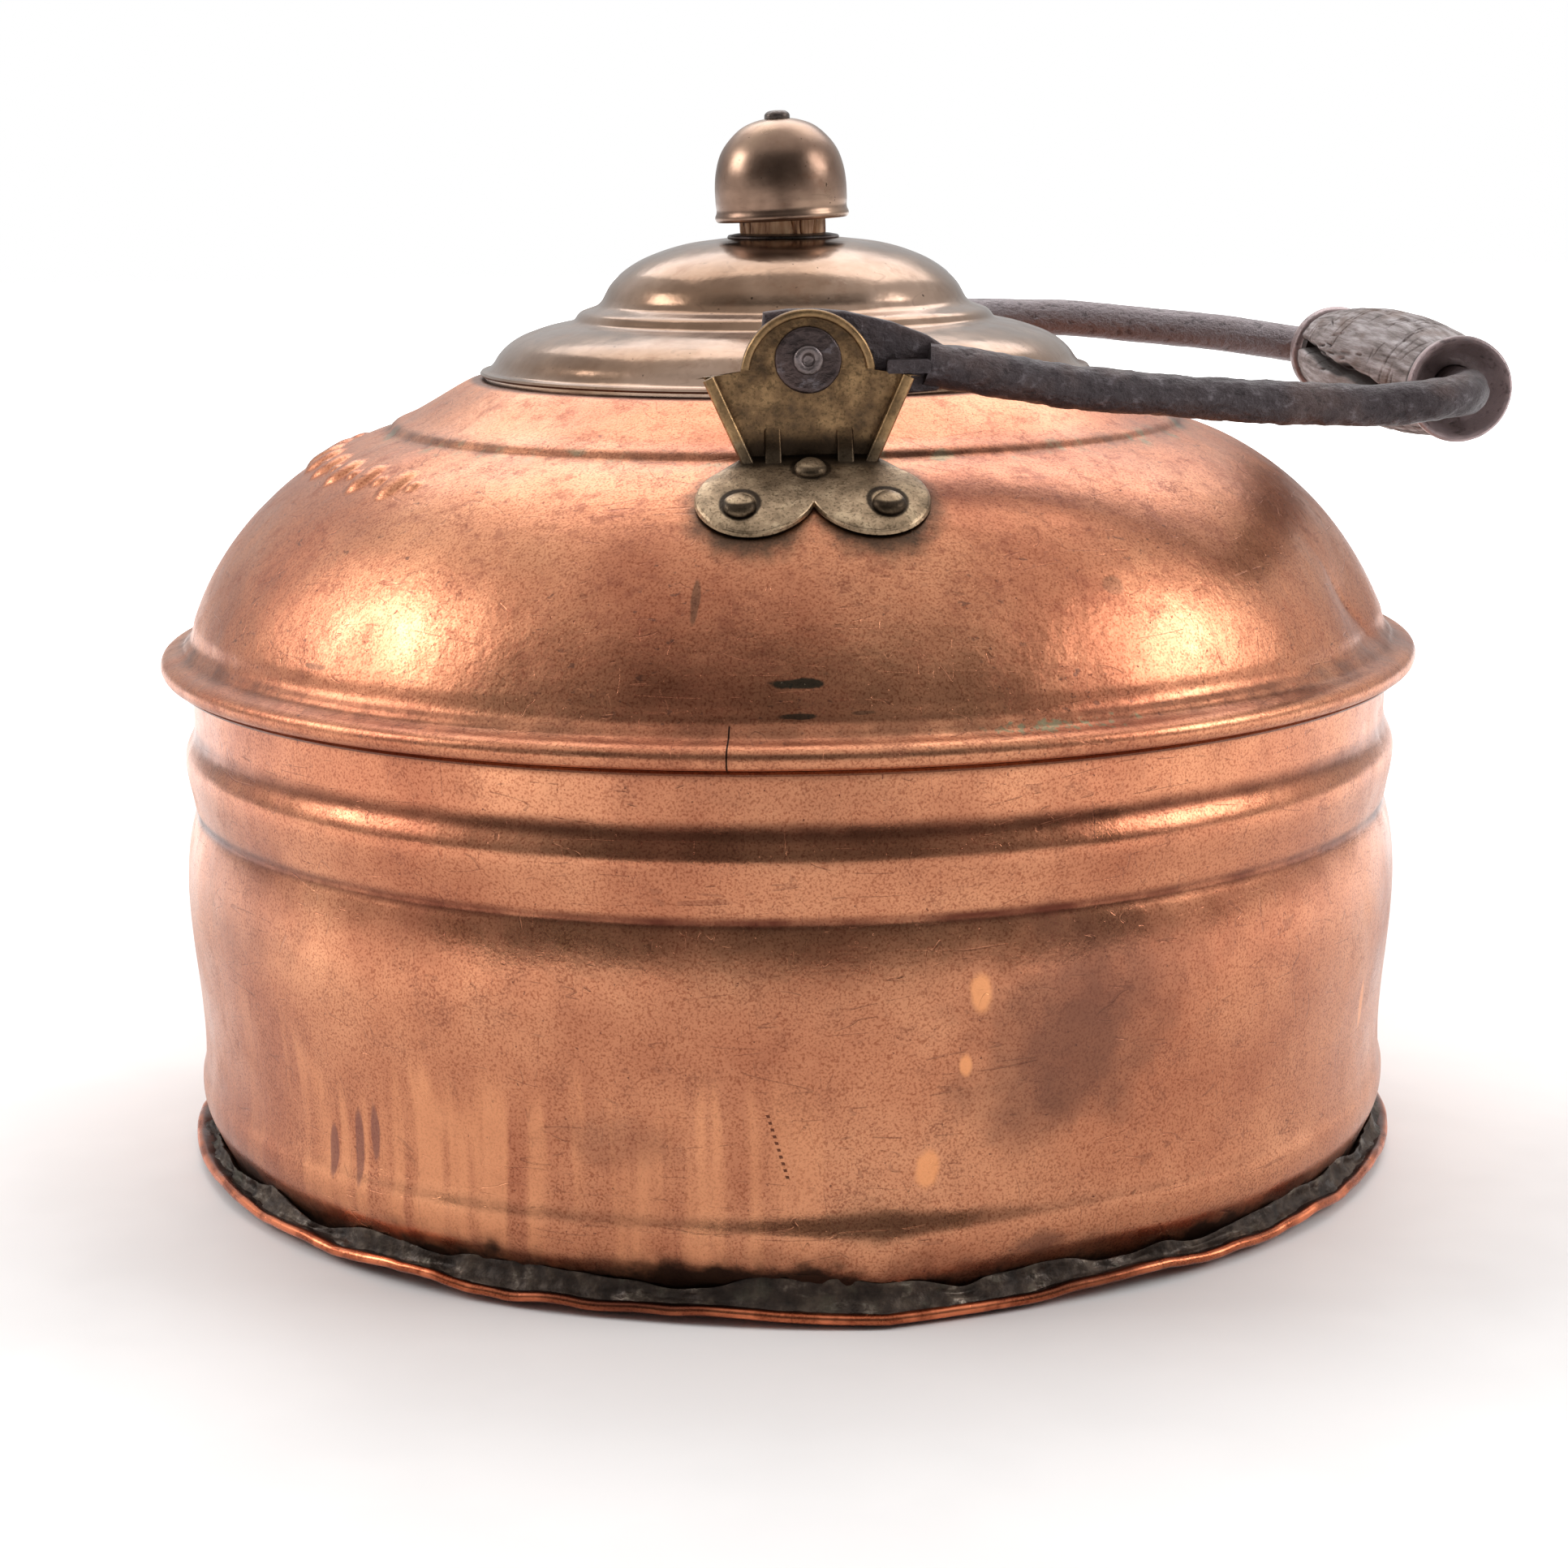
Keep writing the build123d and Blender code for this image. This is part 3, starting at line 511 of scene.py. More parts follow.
def wall_copper():
    """Wall: drips and marks low on the left, a dark patch right of the middle, grime and painted shade at
    the tucked-in foot, painted shade beside the beads and under the rim.
    """
    s, rough = copper_start("wall_copper")
    drip = s.noise(6.5, 2.0, (1, 1, 20), 21.0)
    tops = s.span(s.noise(21, 3.0, (1, 1, 9), 23.0), 0.35, 0.65, 0.009, -0.009)
    low = s.fade(s.math("ADD", s.z, tops), 0.044, 0.034)
    left = s.times(s.fade(s.turn, 0.15, -0.25), s.fade(s.turn, -1.25, -0.7))
    bright = s.times(low, left, s.fade(drip, 0.43, 0.58))
    s.paint((240, 168, 122), bright, 0.5)
    for turn, z, half_turn, half_z, strength, seed in [
            (20.5, 44, 5.5, 13, 0.5, 1.0), (21, 50, 9, 17, 0.4, 2.0), (16, 36, 5, 8, 0.35, 3.0),
            (26, 58, 9, 8, 0.25, 4.0),
            (-17, 31, 5, 5, 0.25, 5.0), (18, 11, 2.2, 2.2, 0.6, 6.0), (-60, 62, 9, 12, 0.25, 7.0),
            (150, 40, 20, 18, 0.5, 8.0), (-140, 52, 14, 10, 0.45, 9.0), (95, 34, 12, 12, 0.4, 10.0)]:
        s.paint((100, 68, 58), s.patch(turn, z, half_turn, half_z, 0.5, seed, 0.9), strength)
    for turn, z, half_turn, half_z in [(12.3, 56.4, 0.9, 3.3), (11.1, 44.2, 0.55, 2.0),
                                       (8.1, 26.2, 1.0, 3.4), (61, 36, 0.5, 5)]:
        s.paint((240, 164, 112), s.patch(turn, z, half_turn, half_z, 0.25, 5.0, 0.6), 0.8)
    for turn, z, half_z in [(-46.6, 21, 5), (-43.2, 22, 7), (-41.2, 26, 5)]:
        s.paint((120, 80, 74), s.patch(turn, z, 0.55, half_z, 0.2), 0.7)
    # A straight row of small pits
    across = s.math("ADD", s.math("SUBTRACT", s.turn, radians(-4.2)),
                    s.math("MULTIPLY", s.math("SUBTRACT", s.z, 0.0315), 2.4))
    row = s.times(s.band(across, 0.0, 0.0018, 0.0012), s.band(s.z, 0.0315, 0.0058, 0.0004))
    pits = s.times(row, s.fade(s.math("SINE", s.math("MULTIPLY", s.z, 5200.0)), 0.1, 0.5))
    s.paint((74, 36, 30), pits, 0.85)
    s.raise_by(pits, -0.12)
    # Painted shade: dark lines along the hollows beside the beads
    for z, soft, strength in [(0.0692, 0.0015, 1.0), (0.0845, 0.0024, 0.7), (0.0178, 0.0016, 0.15)]:
        line = s.times(s.band(s.z, z, 0.0002, soft),
                       s.span(s.noise(16, 4.0, shift=31.0), 0.35, 0.6, 0.5, 1.0))
        s.paint((96, 52, 40), line, strength)
    creep = s.math("ADD", s.drift(-0.002, 0.002, 5, 5.0, shift=41.0),
                   s.drift(-0.0035, 0.0035, 24, 2.0, shift=43.0))
    scorch = s.fade(s.math("ADD", s.z, creep), 0.0125, 0.0065)
    s.paint((96, 58, 44), scorch, 0.5)
    # Grime and painted shade on the tucked-in foot of the wall, under the base bead
    foot = s.fade(s.math("ADD", s.z, creep), 0.0088, 0.0052)
    s.paint((40, 31, 27), foot, 0.9)
    # Painted shade on the top of the wall, under the overhanging rolled rim
    top = s.fade(s.z, 0.0925, 0.0945)
    s.paint((70, 40, 32), top, 0.7)
    rough = s.math("ADD", rough, s.times(foot, 0.25))
    return s.done(rough)


def dome_copper():
    """Dome: specked shoulder, grime along the ridge and round the feet, stains low in front, painted shade
    above the rolled rim and round the lid's seat.
    """
    s, rough = copper_start("dome_copper")
    rust = s.times(s.fade(s.noise(5, 6.0, shift=51.0, rough=0.75), 0.5, 0.66),
                   s.span(s.z, 0.104, 0.13, 0.55, 1.0))
    s.paint((124, 68, 54), rust, 0.5)
    fleck = s.times(s.fade(s.noise(1.6, 3.0, (1, 1, 0.6), 53.0), 0.62, 0.7),
                    s.fade(s.noise(11, 3.0, shift=55.0), 0.46, 0.6))
    s.paint((80, 58, 54), fleck, 0.6)
    for turn, z, half_turn, half_z, strength in [
            (-2, 108.6, 2.3, 0.8, 0.9), (-2, 103.6, 1.6, 0.5, 0.8), (3, 104, 1.0, 0.4, 0.5),
            (-48, 106.8, 1.5, 0.5, 0.5),
            (-11, 121, 0.4, 3.5, 0.5), (28, 121, 1.2, 1.6, 0.35), (120, 110, 3, 1, 0.6)]:
        s.paint((52, 58, 50), s.patch(turn, z, half_turn, half_z, 0.3, 57.0), strength)
    green = s.times(s.patch(19.5, 100.6, 7, 0.9, 0.6, 59.0),
                    s.fade(s.noise(1.6, 4.0, shift=61.0), 0.48, 0.6))
    s.paint((126, 142, 112), green, 0.7)
    ridge = s.times(s.band(s.radius, 0.0772, 0.0004, 0.0022), s.fade(s.z, 0.138, 0.14))
    ridge = s.times(ridge, s.span(s.noise(7, 5.0, shift=63.0), 0.35, 0.62, 0.15, 1.0))
    s.paint((92, 62, 50), ridge, 0.75)
    verdigris = s.times(s.band(s.radius, 0.0782, 0.0006, 0.003),
                        s.fade(s.noise(5, 5.0, shift=65.0), 0.52, 0.66))
    s.paint((116, 128, 104), verdigris, 0.55)
    # Painted shade: a dark band in the hollow just above the rolled rim
    rim = s.times(s.band(s.z, 0.1012, 0.0006, 0.0018),
                  s.span(s.noise(9, 5.0, shift=67.0), 0.35, 0.6, 0.25, 1.0))
    s.paint((84, 52, 40), rim, 0.6)
    # Grime round the ears' feet
    beside = s.math("SUBTRACT", s.math("ABSOLUTE", s.x), 0.0104)
    forward = s.math("SUBTRACT", s.math("ABSOLUTE", s.y), 0.0898)
    away = s.math("SQRT", s.math("ADD", s.times(beside, beside), s.times(forward, forward)))
    away = s.math("ADD", away, s.drift(-0.001, 0.001, 3, 5.0, shift=69.0))
    s.paint((62, 54, 45), s.fade(away, 0.0135, 0.0085), 0.9)
    # Pale worn metal on the collar under the lid
    collar = s.fade(s.radius, 0.0745, 0.0705)
    s.paint((232, 158, 118), collar, 0.15)
    # Painted shade in the gap round the lid's edge
    seat = s.fade(s.radius, 0.0622, 0.0605)
    s.paint((74, 50, 42), seat, 0.8)
    crack = s.times(s.band(s.turn, radians(-7.6), 0.0008, 0.0008), s.band(s.z, 0.0985, 0.0035, 0.0004))
    s.paint((36, 22, 18), crack)
    s.raise_by(s.noise(2.6, 3.0, shift=75.0), 0.09)
    return s.done(s.math("ADD", s.math("ADD", rough, 0.05), s.times(rust, 0.08)))


def plain_copper(name, dark):
    """Copper of the spout and trim, browner by dark from 0 to 1."""
    s, rough = copper_start(name)
    brown = s.fade(s.noise(8, 6.0, shift=71.0), 0.62 - 0.3 * dark, 0.75)
    s.paint((96, 56, 46), brown, 0.35 + 0.4 * dark)
    return s.done(rough)


def flange_copper():
    """Base flange: a painted highlight along the red-copper rolled edge in places, and painted shade where
    it nears the floor.
    """
    s, rough = copper_start("flange_copper")
    worn = s.fade(s.noise(9, 4.0, shift=73.0), 0.44, 0.6)
    # Painted highlight along the rolled outer edge, in patches set by a noise
    edge = s.fade(s.radius, 0.1192, 0.1202)
    s.tone = s.mix(1.0, s.tone, colour(226, 190, 176), "MULTIPLY")
    s.paint((226, 132, 92), edge, worn)
    scorched = s.times(s.fade(s.radius, 0.1206, 0.119), s.fade(s.z, 0.001, 0.002))
    s.paint((52, 34, 30), scorched, 0.85)
    # Painted shade on the underside and the lowest part of the edge, next to the floor
    under = s.fade(s.z, 0.0007, 0.0002)
    s.paint((84, 58, 50), under, 0.6)
    return s.done(rough)


def solder():
    """Solder and flux: black crust with grey-silver beads."""
    s = Shader("solder", 0.6)
    lumps = s.noise(3.2, 5.0, shift=81.0)
    silver = s.fade(s.noise(9, 5.0, (1, 1, 0.3), 83.0, rough=0.65), 0.5, 0.62)
    s.tone = s.ramp(lumps, (0.3, (42, 33, 28)), (0.5, (66, 54, 46)), (0.7, (98, 84, 72)))
    s.paint((150, 140, 126), silver, s.fade(lumps, 0.5, 0.7), 0.75)
    s.paint((92, 90, 74), s.fade(s.noise(6, 4.0, shift=85.0), 0.56, 0.68), 0.3)
    s.raise_by(lumps, 0.6)
    s.raise_by(s.noise(0.9, 2.0, shift=87.0), 0.12)
    return s.done(s.span(silver, 0.0, 1.0, 0.62, 0.34))


def aged_brass():
    """Ears and rivets: dull olive-brown brass, greyer on the foot, with a painted highlight on its raised
    edges, painted shade along the bend, and grime with painted shade in the hollow and round the rivet
    heads.
    """
    s = Shader("aged_brass", 1.0)
    cloud = s.noise(4.5, 6.0, rough=0.65)
    s.tone = s.ramp(cloud, (0.34, (88, 70, 54)), (0.5, (124, 97, 70)), (0.68, (164, 131, 94)))
    out = s.math("ABSOLUTE", s.y)
    foot = s.math("MAXIMUM", s.fade(s.z, 0.1412, 0.1395),
                  s.times(s.fade(out, 0.0806, 0.0812), s.fade(s.z, 0.1455, 0.144)))
    grey = s.ramp(cloud, (0.34, (122, 104, 83)), (0.5, (162, 139, 113)), (0.66, (200, 177, 147)))
    s.tone = s.mix(s.times(foot, 0.85), s.tone, grey)
    grain = s.noise(0.5, 2.0, shift=91.0)
    s.paint((78, 64, 46), s.fade(grain, 0.5, 0.68), 0.6)
    beside = s.math("ABSOLUTE", s.x)
    outline = s.math("MAXIMUM", s.fade(beside, 0.0085, 0.0105), s.fade(s.z, 0.150, 0.152))
    # Painted highlight on the raised border, side flanges and tabs
    proud = s.times(s.fade(out, 0.0790, 0.0797), s.fade(s.z, 0.1405, 0.143),
                    s.span(cloud, 0.35, 0.6, 0.3, 1.0), outline)
    s.paint((168, 136, 96), proud, 0.5)
    # Grime and painted shade in the hollow at the foot of the plate, between the gusset tabs
    hollow = s.times(s.fade(s.z, 0.1478, 0.1435), s.fade(out, 0.0835, 0.0795),
                     s.fade(s.z, 0.1395, 0.1412))
    hollow = s.times(hollow, s.fade(beside, 0.0135, 0.0095))
    s.paint((34, 26, 20), hollow, 0.9)
    # Painted shade along the bend where the plate meets the foot
    bend = s.times(s.band(out, 0.0806, 0.0012, 0.0022), s.fade(s.z, 0.1455, 0.143),
                   s.span(cloud, 0.3, 0.6, 0.5, 1.0))
    s.paint((46, 37, 29), bend, 0.75)
    # Grime and a painted shadow ring round each rivet head
    for x, y in RIVETS:
        a, b = s.math("SUBTRACT", beside, abs(x) * MM), s.math("SUBTRACT", out, -y * MM)
        away = s.math("SQRT", s.math("ADD", s.times(a, a), s.times(b, b)))
        s.paint((40, 31, 24), s.band(away, 0.0031, 0.0002, 0.0005), 0.75)
    s.raise_by(grain, 0.05)
    s.raise_by(cloud, 0.12)
    return s.done(s.drift(0.34, 0.52, 3, 4.0, shift=93.0))


def forged_iron(name, crust, tint, metallic=0.85, worn=0.0):
    """Dark iron, tint its mid colour.

    crust from 0 to 1 roughens it with scale, and worn pales the spout's side.
    """
    s = Shader(name, metallic)
    scale = s.noise(1.7, 6.0, (1.4, 1, 1), 101.0, rough=0.62)
    cloud = s.noise(13, 5.0, shift=103.0)
    s.tone = s.mix(s.times(s.fade(cloud, 0.42, 0.66), 0.7), colour(*tint), colour(90, 74, 71))
    s.paint((150, 139, 141), s.fade(s.y, 0.03, 0.06), worn)
    s.paint((132, 124, 128), s.fade(scale, 0.54, 0.7), 0.4)
    s.paint((36, 30, 31), s.fade(scale, 0.46, 0.34), 0.5)
    s.raise_by(scale, 0.15 + 0.75 * crust)
    s.raise_by(s.noise(0.7, 2.0, shift=105.0), 0.04 + 0.05 * crust)
    return s.done(s.drift(0.26 + 0.06 * crust, 0.38 + 0.1 * crust, 4, 4.0, shift=107.0))


def weathered_wood():
    """Grip: grey, grained and checked along its length, brown with painted shade in the cracks, and
    painted shade at its ends.
    """
    s = Shader("weathered_wood", 0.0, Specular_IOR_Level=0.35)
    grain = s.noise(1.4, 6.0, (1, 14, 1), 111.0, rough=0.65)
    cloud = s.noise(9, 4.0, (1, 2, 1), 113.0)
    s.tone = s.ramp(grain, (0.3, (72, 60, 56)), (0.46, (124, 112, 109)), (0.62, (162, 152, 152)),
                    (0.8, (192, 182, 179)))
    s.paint((104, 78, 64), s.fade(cloud, 0.48, 0.66), 0.6)
    off_x = s.math("SUBTRACT", s.x, GRIP_X * MM)
    off_z = s.math("SUBTRACT", s.z, GRIP_Z * MM)
    depth = s.math("SQRT", s.math("ADD", s.times(off_x, off_x), s.times(off_z, off_z)))
    bulge = s.math("MULTIPLY", s.times(s.y, s.y), (WOOD_R - WOOD_END_R) / (WOOD_HALF ** 2 * MM))
    below = s.math("SUBTRACT", s.math("SUBTRACT", WOOD_R * MM, bulge), depth)
    # Dark brown in the splits and checks deeper than about 0.4 mm: the wood's brown inside, with painted
    # shade
    s.paint((40, 24, 18), s.fade(below, 0.0004, 0.0011))
    # Painted shade: a dark gap at each end of the wood, against the ferrules
    ends = s.fade(s.math("ABSOLUTE", s.y), (WOOD_HALF - 2.8) * MM, (WOOD_HALF - 1.6) * MM)
    s.paint((34, 27, 25), ends, 0.85)
    s.raise_by(grain, 0.5)
    s.raise_by(s.noise(0.5, 2.0, (1, 4, 1), 115.0), 0.08)
    return s.done(s.span(grain, 0.3, 0.7, 0.75, 0.5))


def polished_bronze(name, tints, gloss):
    """Lid and knob cap: brown bronze, glossy, with faint rubbing marks and small dark spots."""
    s = Shader(name, 1.0)
    cloud = s.noise(22, 5.0, shift=121.0)
    s.tone = s.ramp(cloud, (0.36, tints[0]), (0.5, tints[1]), (0.64, tints[2]))
    s.paint((112, 74, 52), s.fade(s.noise(5, 6.0, shift=123.0, rough=0.7), 0.52, 0.7), 0.3)
    specks = s.fade(s.noise(0.9, 1.0, shift=125.0), 0.74, 0.8)
    hair = s.hairlines(5, (5, 5, 1), 0.005, 127.0, 0.5)
    s.paint((66, 50, 38), s.math("MAXIMUM", specks, s.times(hair, 0.15)))
    s.raise_by(s.noise(9, 3.0, shift=129.0), 0.12)
    s.raise_by(s.noise(0.8, 2.0, shift=131.0), 0.012)
    return s.done(s.drift(gloss, gloss + 0.12, 7, 4.0, shift=133.0))


def knob_wood():
    """Knob's neck: light brown wood with fine upright cracks."""
    s = Shader("knob_wood", 0.0, Specular_IOR_Level=0.3)
    grain = s.noise(1.1, 5.0, (1, 1, 9), 141.0, rough=0.6)
    s.tone = s.ramp(grain, (0.34, (96, 58, 38)), (0.48, (172, 126, 92)), (0.7, (205, 164, 128)))
    cracks = s.fade(s.noise(2.2, 2.0, (1, 1, 12), 143.0), 0.36, 0.31)
    s.paint((48, 26, 18), cracks)
    s.raise_by(grain, 0.12)
    s.raise_by(cracks, -0.3)
    return s.done(s.span(grain, 0.3, 0.7, 0.7, 0.5))


# ------------------------------------------------------------------ copper body
def keel_push(turn, z):
    """How far the lower wall and the flange were knocked out at the keel and flattened beside it."""
    side = np.abs(from_turn(turn, KEEL_TURN))
    return (2.4 * np.exp(-side / 7) - 1.0 * hill(side, 19, 11)) * smoothstep(25, 5, z)


def ring_noise(turn, r, z, size, seed):
    """Noise over the kettle's surface."""
    around = np.radians(turn)
    return noise(np.stack([r * np.sin(around), -r * np.cos(around), z + 0 * r], -1), size, seed)


def turned_noise(turn, r, z, size, seed):
    """Noise over a small turned piece."""
    around = np.radians(turn)
    return noise(np.stack([r * np.sin(around), r * np.cos(around), z], -1), size, seed)


def wall_warp(turn, r, z):
    """Soft waves of a hand-spun wall, and the keel."""
    level = smoothstep(2, 12, z) * smoothstep(95.4, 90, z)
    wave = 0.13 * ring_noise(turn, r, z, 60, 1) + 0.035 * ring_noise(turn, r, z, 14, 2)
    return r + keel_push(turn, z) + wave * level, z


def make_wall():
    """Copper wall with its beads, hem and the round hole to the spout."""
    outline = smooth_line([
        (115.5, 1.3), (115.5, 3.6), (116.9, 7.3), (118.4, 11), (118.75, 13.8), (118.65, 15.8),
        (118.2, 17.6),
        (117.95, 19.2), (117.9, 20.5), (117.9, 67.6), (117.4, 69.2), (117.9, 70.8), (118.2, 72.6),
        (118.8, 75.8), (119.1, 78.4),
        (118.95, 80.4), (118.2, 82.2), (117.5, 83.7), (117.15, 85.6), (117.1, 88), (117.1, 94.1)], 0.8)
    hem = [(117.3, 94.45), (120.5, 94.5), (120.8, 94.9), (120.5, 95.3), (116.2, 95.35), (116.1, 94.2)]
    inner = outline[::-3] - [COPPER_T, 0]
    grid = ring_grid(np.vstack([outline, hem, inner]), 720, wall_warp)
    wall = solid("wall", grid.reshape(-1, 3), quads(*grid.shape[:2]))
    # Hole behind the spout: faces inside the ellipse go, and the two edges are joined
    hole = np.array([15.0, 17.0]) * MM
    work = bmesh.new()
    work.from_mesh(wall.data)

    def share(point):
        return hypot(point.x / hole[0], (point.z - SPOUT_Z * MM) / hole[1])

    inside = [f for f in work.faces if f.calc_center_median().y > 0 and share(f.calc_center_median()) < 1]
    bmesh.ops.delete(work, geom=inside, context="FACES")
    edges = [e for e in work.edges if e.is_boundary]
    for vert in {v for e in edges for v in e.verts}:
        scale = 1 / share(vert.co)
        radius = hypot(vert.co.x, vert.co.y)
        vert.co.x *= scale
        vert.co.z = SPOUT_Z * MM + (vert.co.z - SPOUT_Z * MM) * scale
        vert.co.y = sqrt(radius ** 2 - vert.co.x ** 2)
    bmesh.ops.bridge_loops(work, edges=edges)
    bmesh.ops.recalc_face_normals(work, faces=work.faces)
    work.to_mesh(wall.data)
    work.free()
    return wall


def flange_warp(turn, r, z):
    """The flange lifts and wanders, and lies on the floor only at the keel and under the wall."""
    edge = smoothstep(110, 119.5, r)
    wander = ring_noise(turn, r + 0 * z, 0 * z, 26, 5)
    ripple = ring_noise(turn, r + 0 * z, 0 * z, 7, 6)
    lift = np.clip(0.9 + 0.9 * wander + 0.35 * ripple, 0,
                   2.2) * (1 - hill(from_turn(turn, KEEL_TURN), 0, 13))
    return r + edge * (keel_push(turn, 3 + 0 * r) * 0.9 + 0.35 * wander - 0.45), z + edge * lift


def make_flange():
    """Base plate with its turned-out, rolled and battered flange."""
    loop = smooth_line([
        (0, 0), (109, 0), (109, 0), (116, 0.05), (119.6, 0.2), (120.8, 0.9), (120.85, 1.7), (120.1, 2.3),
        (118.9, 2.15), (116, 1.5), (109, 1.2), (109, 1.2), (0, 1.2)], 0.5)
    keep = (loop[:, 0] > 108) | (np.arange(len(loop)) % 12 == 0) | (loop[:, 0] < 0.01)
    return lathe("base_flange", loop[keep], 720, flange_warp)


def solder_warp(turn, r, z):
    """Lumps and beads of solder, riding the flange and creeping up the wall unevenly."""
    out = smoothstep(115.8, 116.6, r)
    creep = smoothstep(2.6, 5.5, z) * 2.0 * ring_noise(turn, 118 + 0 * r, 0 * z, 13, 11)
    lumps = 0.55 * ring_noise(turn, r, z, 4.2, 12) + 0.3 * ring_noise(turn, r, z, 1.5, 13)
    _, lifted = flange_warp(turn, 119.5 + 0 * r, z)
    rise = (lifted - z) * smoothstep(4, 1.5, z) * 0.9
    return r + keel_push(turn, z) + out * lumps, z + creep + rise + out * lumps * 0.4


def make_solder():
    """Ring of solder in the corner between the flange and the wall."""
    loop = smooth_line([
        (115.2, 1.4), (118.5, 1.5), (118.9, 2.1), (118.3, 2.9), (117.6, 3.7), (117.1, 4.7), (117.0, 5.5),
        (116.8, 6.0), (116.2, 5.4), (115.4, 4.0), (115.2, 1.4)], 0.3)[:-1]
    return lathe("solder_ring", loop, 1100, solder_warp, sharp=80)


ORNAMENT_PITCH = 7.2        # degrees from one boss to the next
ORNAMENT_COUNT = 11
ORNAMENT_LEAN = 60.5        # place of the row on the dome's arc, in degrees
DENT_TURN, DENT_LEAN = 66.0, 27.0


def ornament(turn, r, lean):
    """Height of the pressed row of plain oval bosses and dots on the shoulder opposite the handle."""
    place = from_turn(turn, -90.0) / ORNAMENT_PITCH
    nearest = np.clip(np.round(place), -(ORNAMENT_COUNT // 2), ORNAMENT_COUNT // 2)
    beside = np.radians((place - nearest) * ORNAMENT_PITCH) * r
    above = np.radians(lean - ORNAMENT_LEAN) * DOME_ARC
    boss = np.clip(1 - (beside / 3.0) ** 2 - (above / 5.0) ** 2, 0, 1)
    halfway = np.abs(place - nearest) - 0.5
    dot = np.clip(1 - (np.hypot(np.radians(halfway * ORNAMENT_PITCH) * r, above) / 1.9) ** 2, 0, 1)
    return 1.0 * smoothstep(0, 1, boss) ** 0.6 + 0.6 * smoothstep(0, 1, dot)


def dome_warp(turn, r, z):
    """Spinning waves, the pressed ornament, and the dent low on the handle's side."""
    out_r, out_z = r - DOME_ARC_R, z - DOME_ARC_Z
    far = np.hypot(out_r, out_z)
    lean = np.degrees(np.arctan2(out_z, out_r))
    on_arc = smoothstep(100.5, 104, z) * smoothstep(141.5, 138.5, z)
    shift = on_arc * (0.22 * ring_noise(turn, r, z, 30, 21) + 0.05 * ring_noise(turn, r, z, 9, 22))
    shift = shift + ornament(turn, r, lean) * on_arc * smoothstep(DOME_ARC - 0.7, DOME_ARC - 0.3, far)
    beside = np.radians(from_turn(turn, DENT_TURN)) * r
    above = np.radians(lean - DENT_LEAN) * DOME_ARC
    shift = shift - 2.3 * on_arc * np.exp(-(beside / 13) ** 2 - (above / 10) ** 2)
    crease = np.abs(beside * 0.86 + above * 0.5 + 0.8)
    shift = shift - 0.9 * on_arc * np.exp(-crease / 1.6) * hill(above * 0.86 - beside * 0.5, 0, 11)
    small = 1.2 * np.exp(-(np.radians(from_turn(turn, -150)) * r / 9) ** 2
                         - (np.radians(lean - 40) * DOME_ARC / 7) ** 2)
    shift = shift - small * on_arc
    return r + shift * out_r / far, z + shift * out_z / far


def dome_arc_points():
    """Points of the dome's arc from its foot to the crease."""
    foot, crease = 18.0, 72.8
    leans = [foot + (crease - foot) * i / 14 for i in range(15)]
    return [(DOME_ARC_R + DOME_ARC * cos(radians(a)), DOME_ARC_Z + DOME_ARC * sin(radians(a)))
            for a in leans]


def make_dome():
    """Shoulder dome from the rolled rim over the ridge to the seat and the turned-down neck."""
    line = smooth_line(
        [(116.4, 95.45), (120.8, 95.5), (122.3, 95.9), (RIM_R, 97.3), (122.5, 98.7), (121.3, 99.5),
         (119.8, 100.0),
         (118.6, 100.6), (117.8, 101.6)] + dome_arc_points()
        + [(77.5, 141.0), (76.9, 141.7), (76.2, 142.3), (75.2, 142.75), (73.6, 143.4), (70, 145.3),
           (66, 147.6),
           (63, 149.25), (61.6, 149.9), (60.4, SEAT_Z), (60.4, SEAT_Z), (55.2, SEAT_Z), (54.3, 149.9),
           (54.0, 149.0), (54.0, 144.0)], 0.5)
    # Sections stand closer together across the ornament
    fine = np.arange(-136, -44, 0.25)
    turns = np.concatenate([fine, np.arange(-44, 224, 0.6)])
    return lathe("dome", shell_loop(line, COPPER_T), turns, dome_warp)


# ------------------------------------------------------------------ spout
SPOUT_STATIONS = [
    (104.0, 36.0, 18.5, 20.0), (126.0, 48.0, 16.5, 17.5), (142.0, 68.0, 14.2, 14.8),
    (150.5, 92.0, 12.6, 12.9),
    (156.0, 116.0, 11.8, 11.8), (163.5, 136.0, 11.4, 11.4), (173.0, 149.0, 11.4, 11.4)]
SPOUT_SHEET = 1.0


def spout_grid(inset):
    """Sections of the spout along its smooth line, moved in by inset."""
    line = smooth_line(SPOUT_STATIONS, 1.6)
    ahead = np.gradient(line[:, :2], axis=0)
    ahead /= np.linalg.norm(ahead, axis=1)[:, None]
    rows = []
    for (y, z, half_width, half_depth), (step_y, step_z) in zip(line, ahead):
        loop = circle(1.0, 96)
        side = loop[:, 0] * (half_width - inset)
        up = loop[:, 1] * (half_depth - inset)
        rows.append(np.stack([side, y - up * step_z, z + up * step_y], -1))
    return np.array(rows)


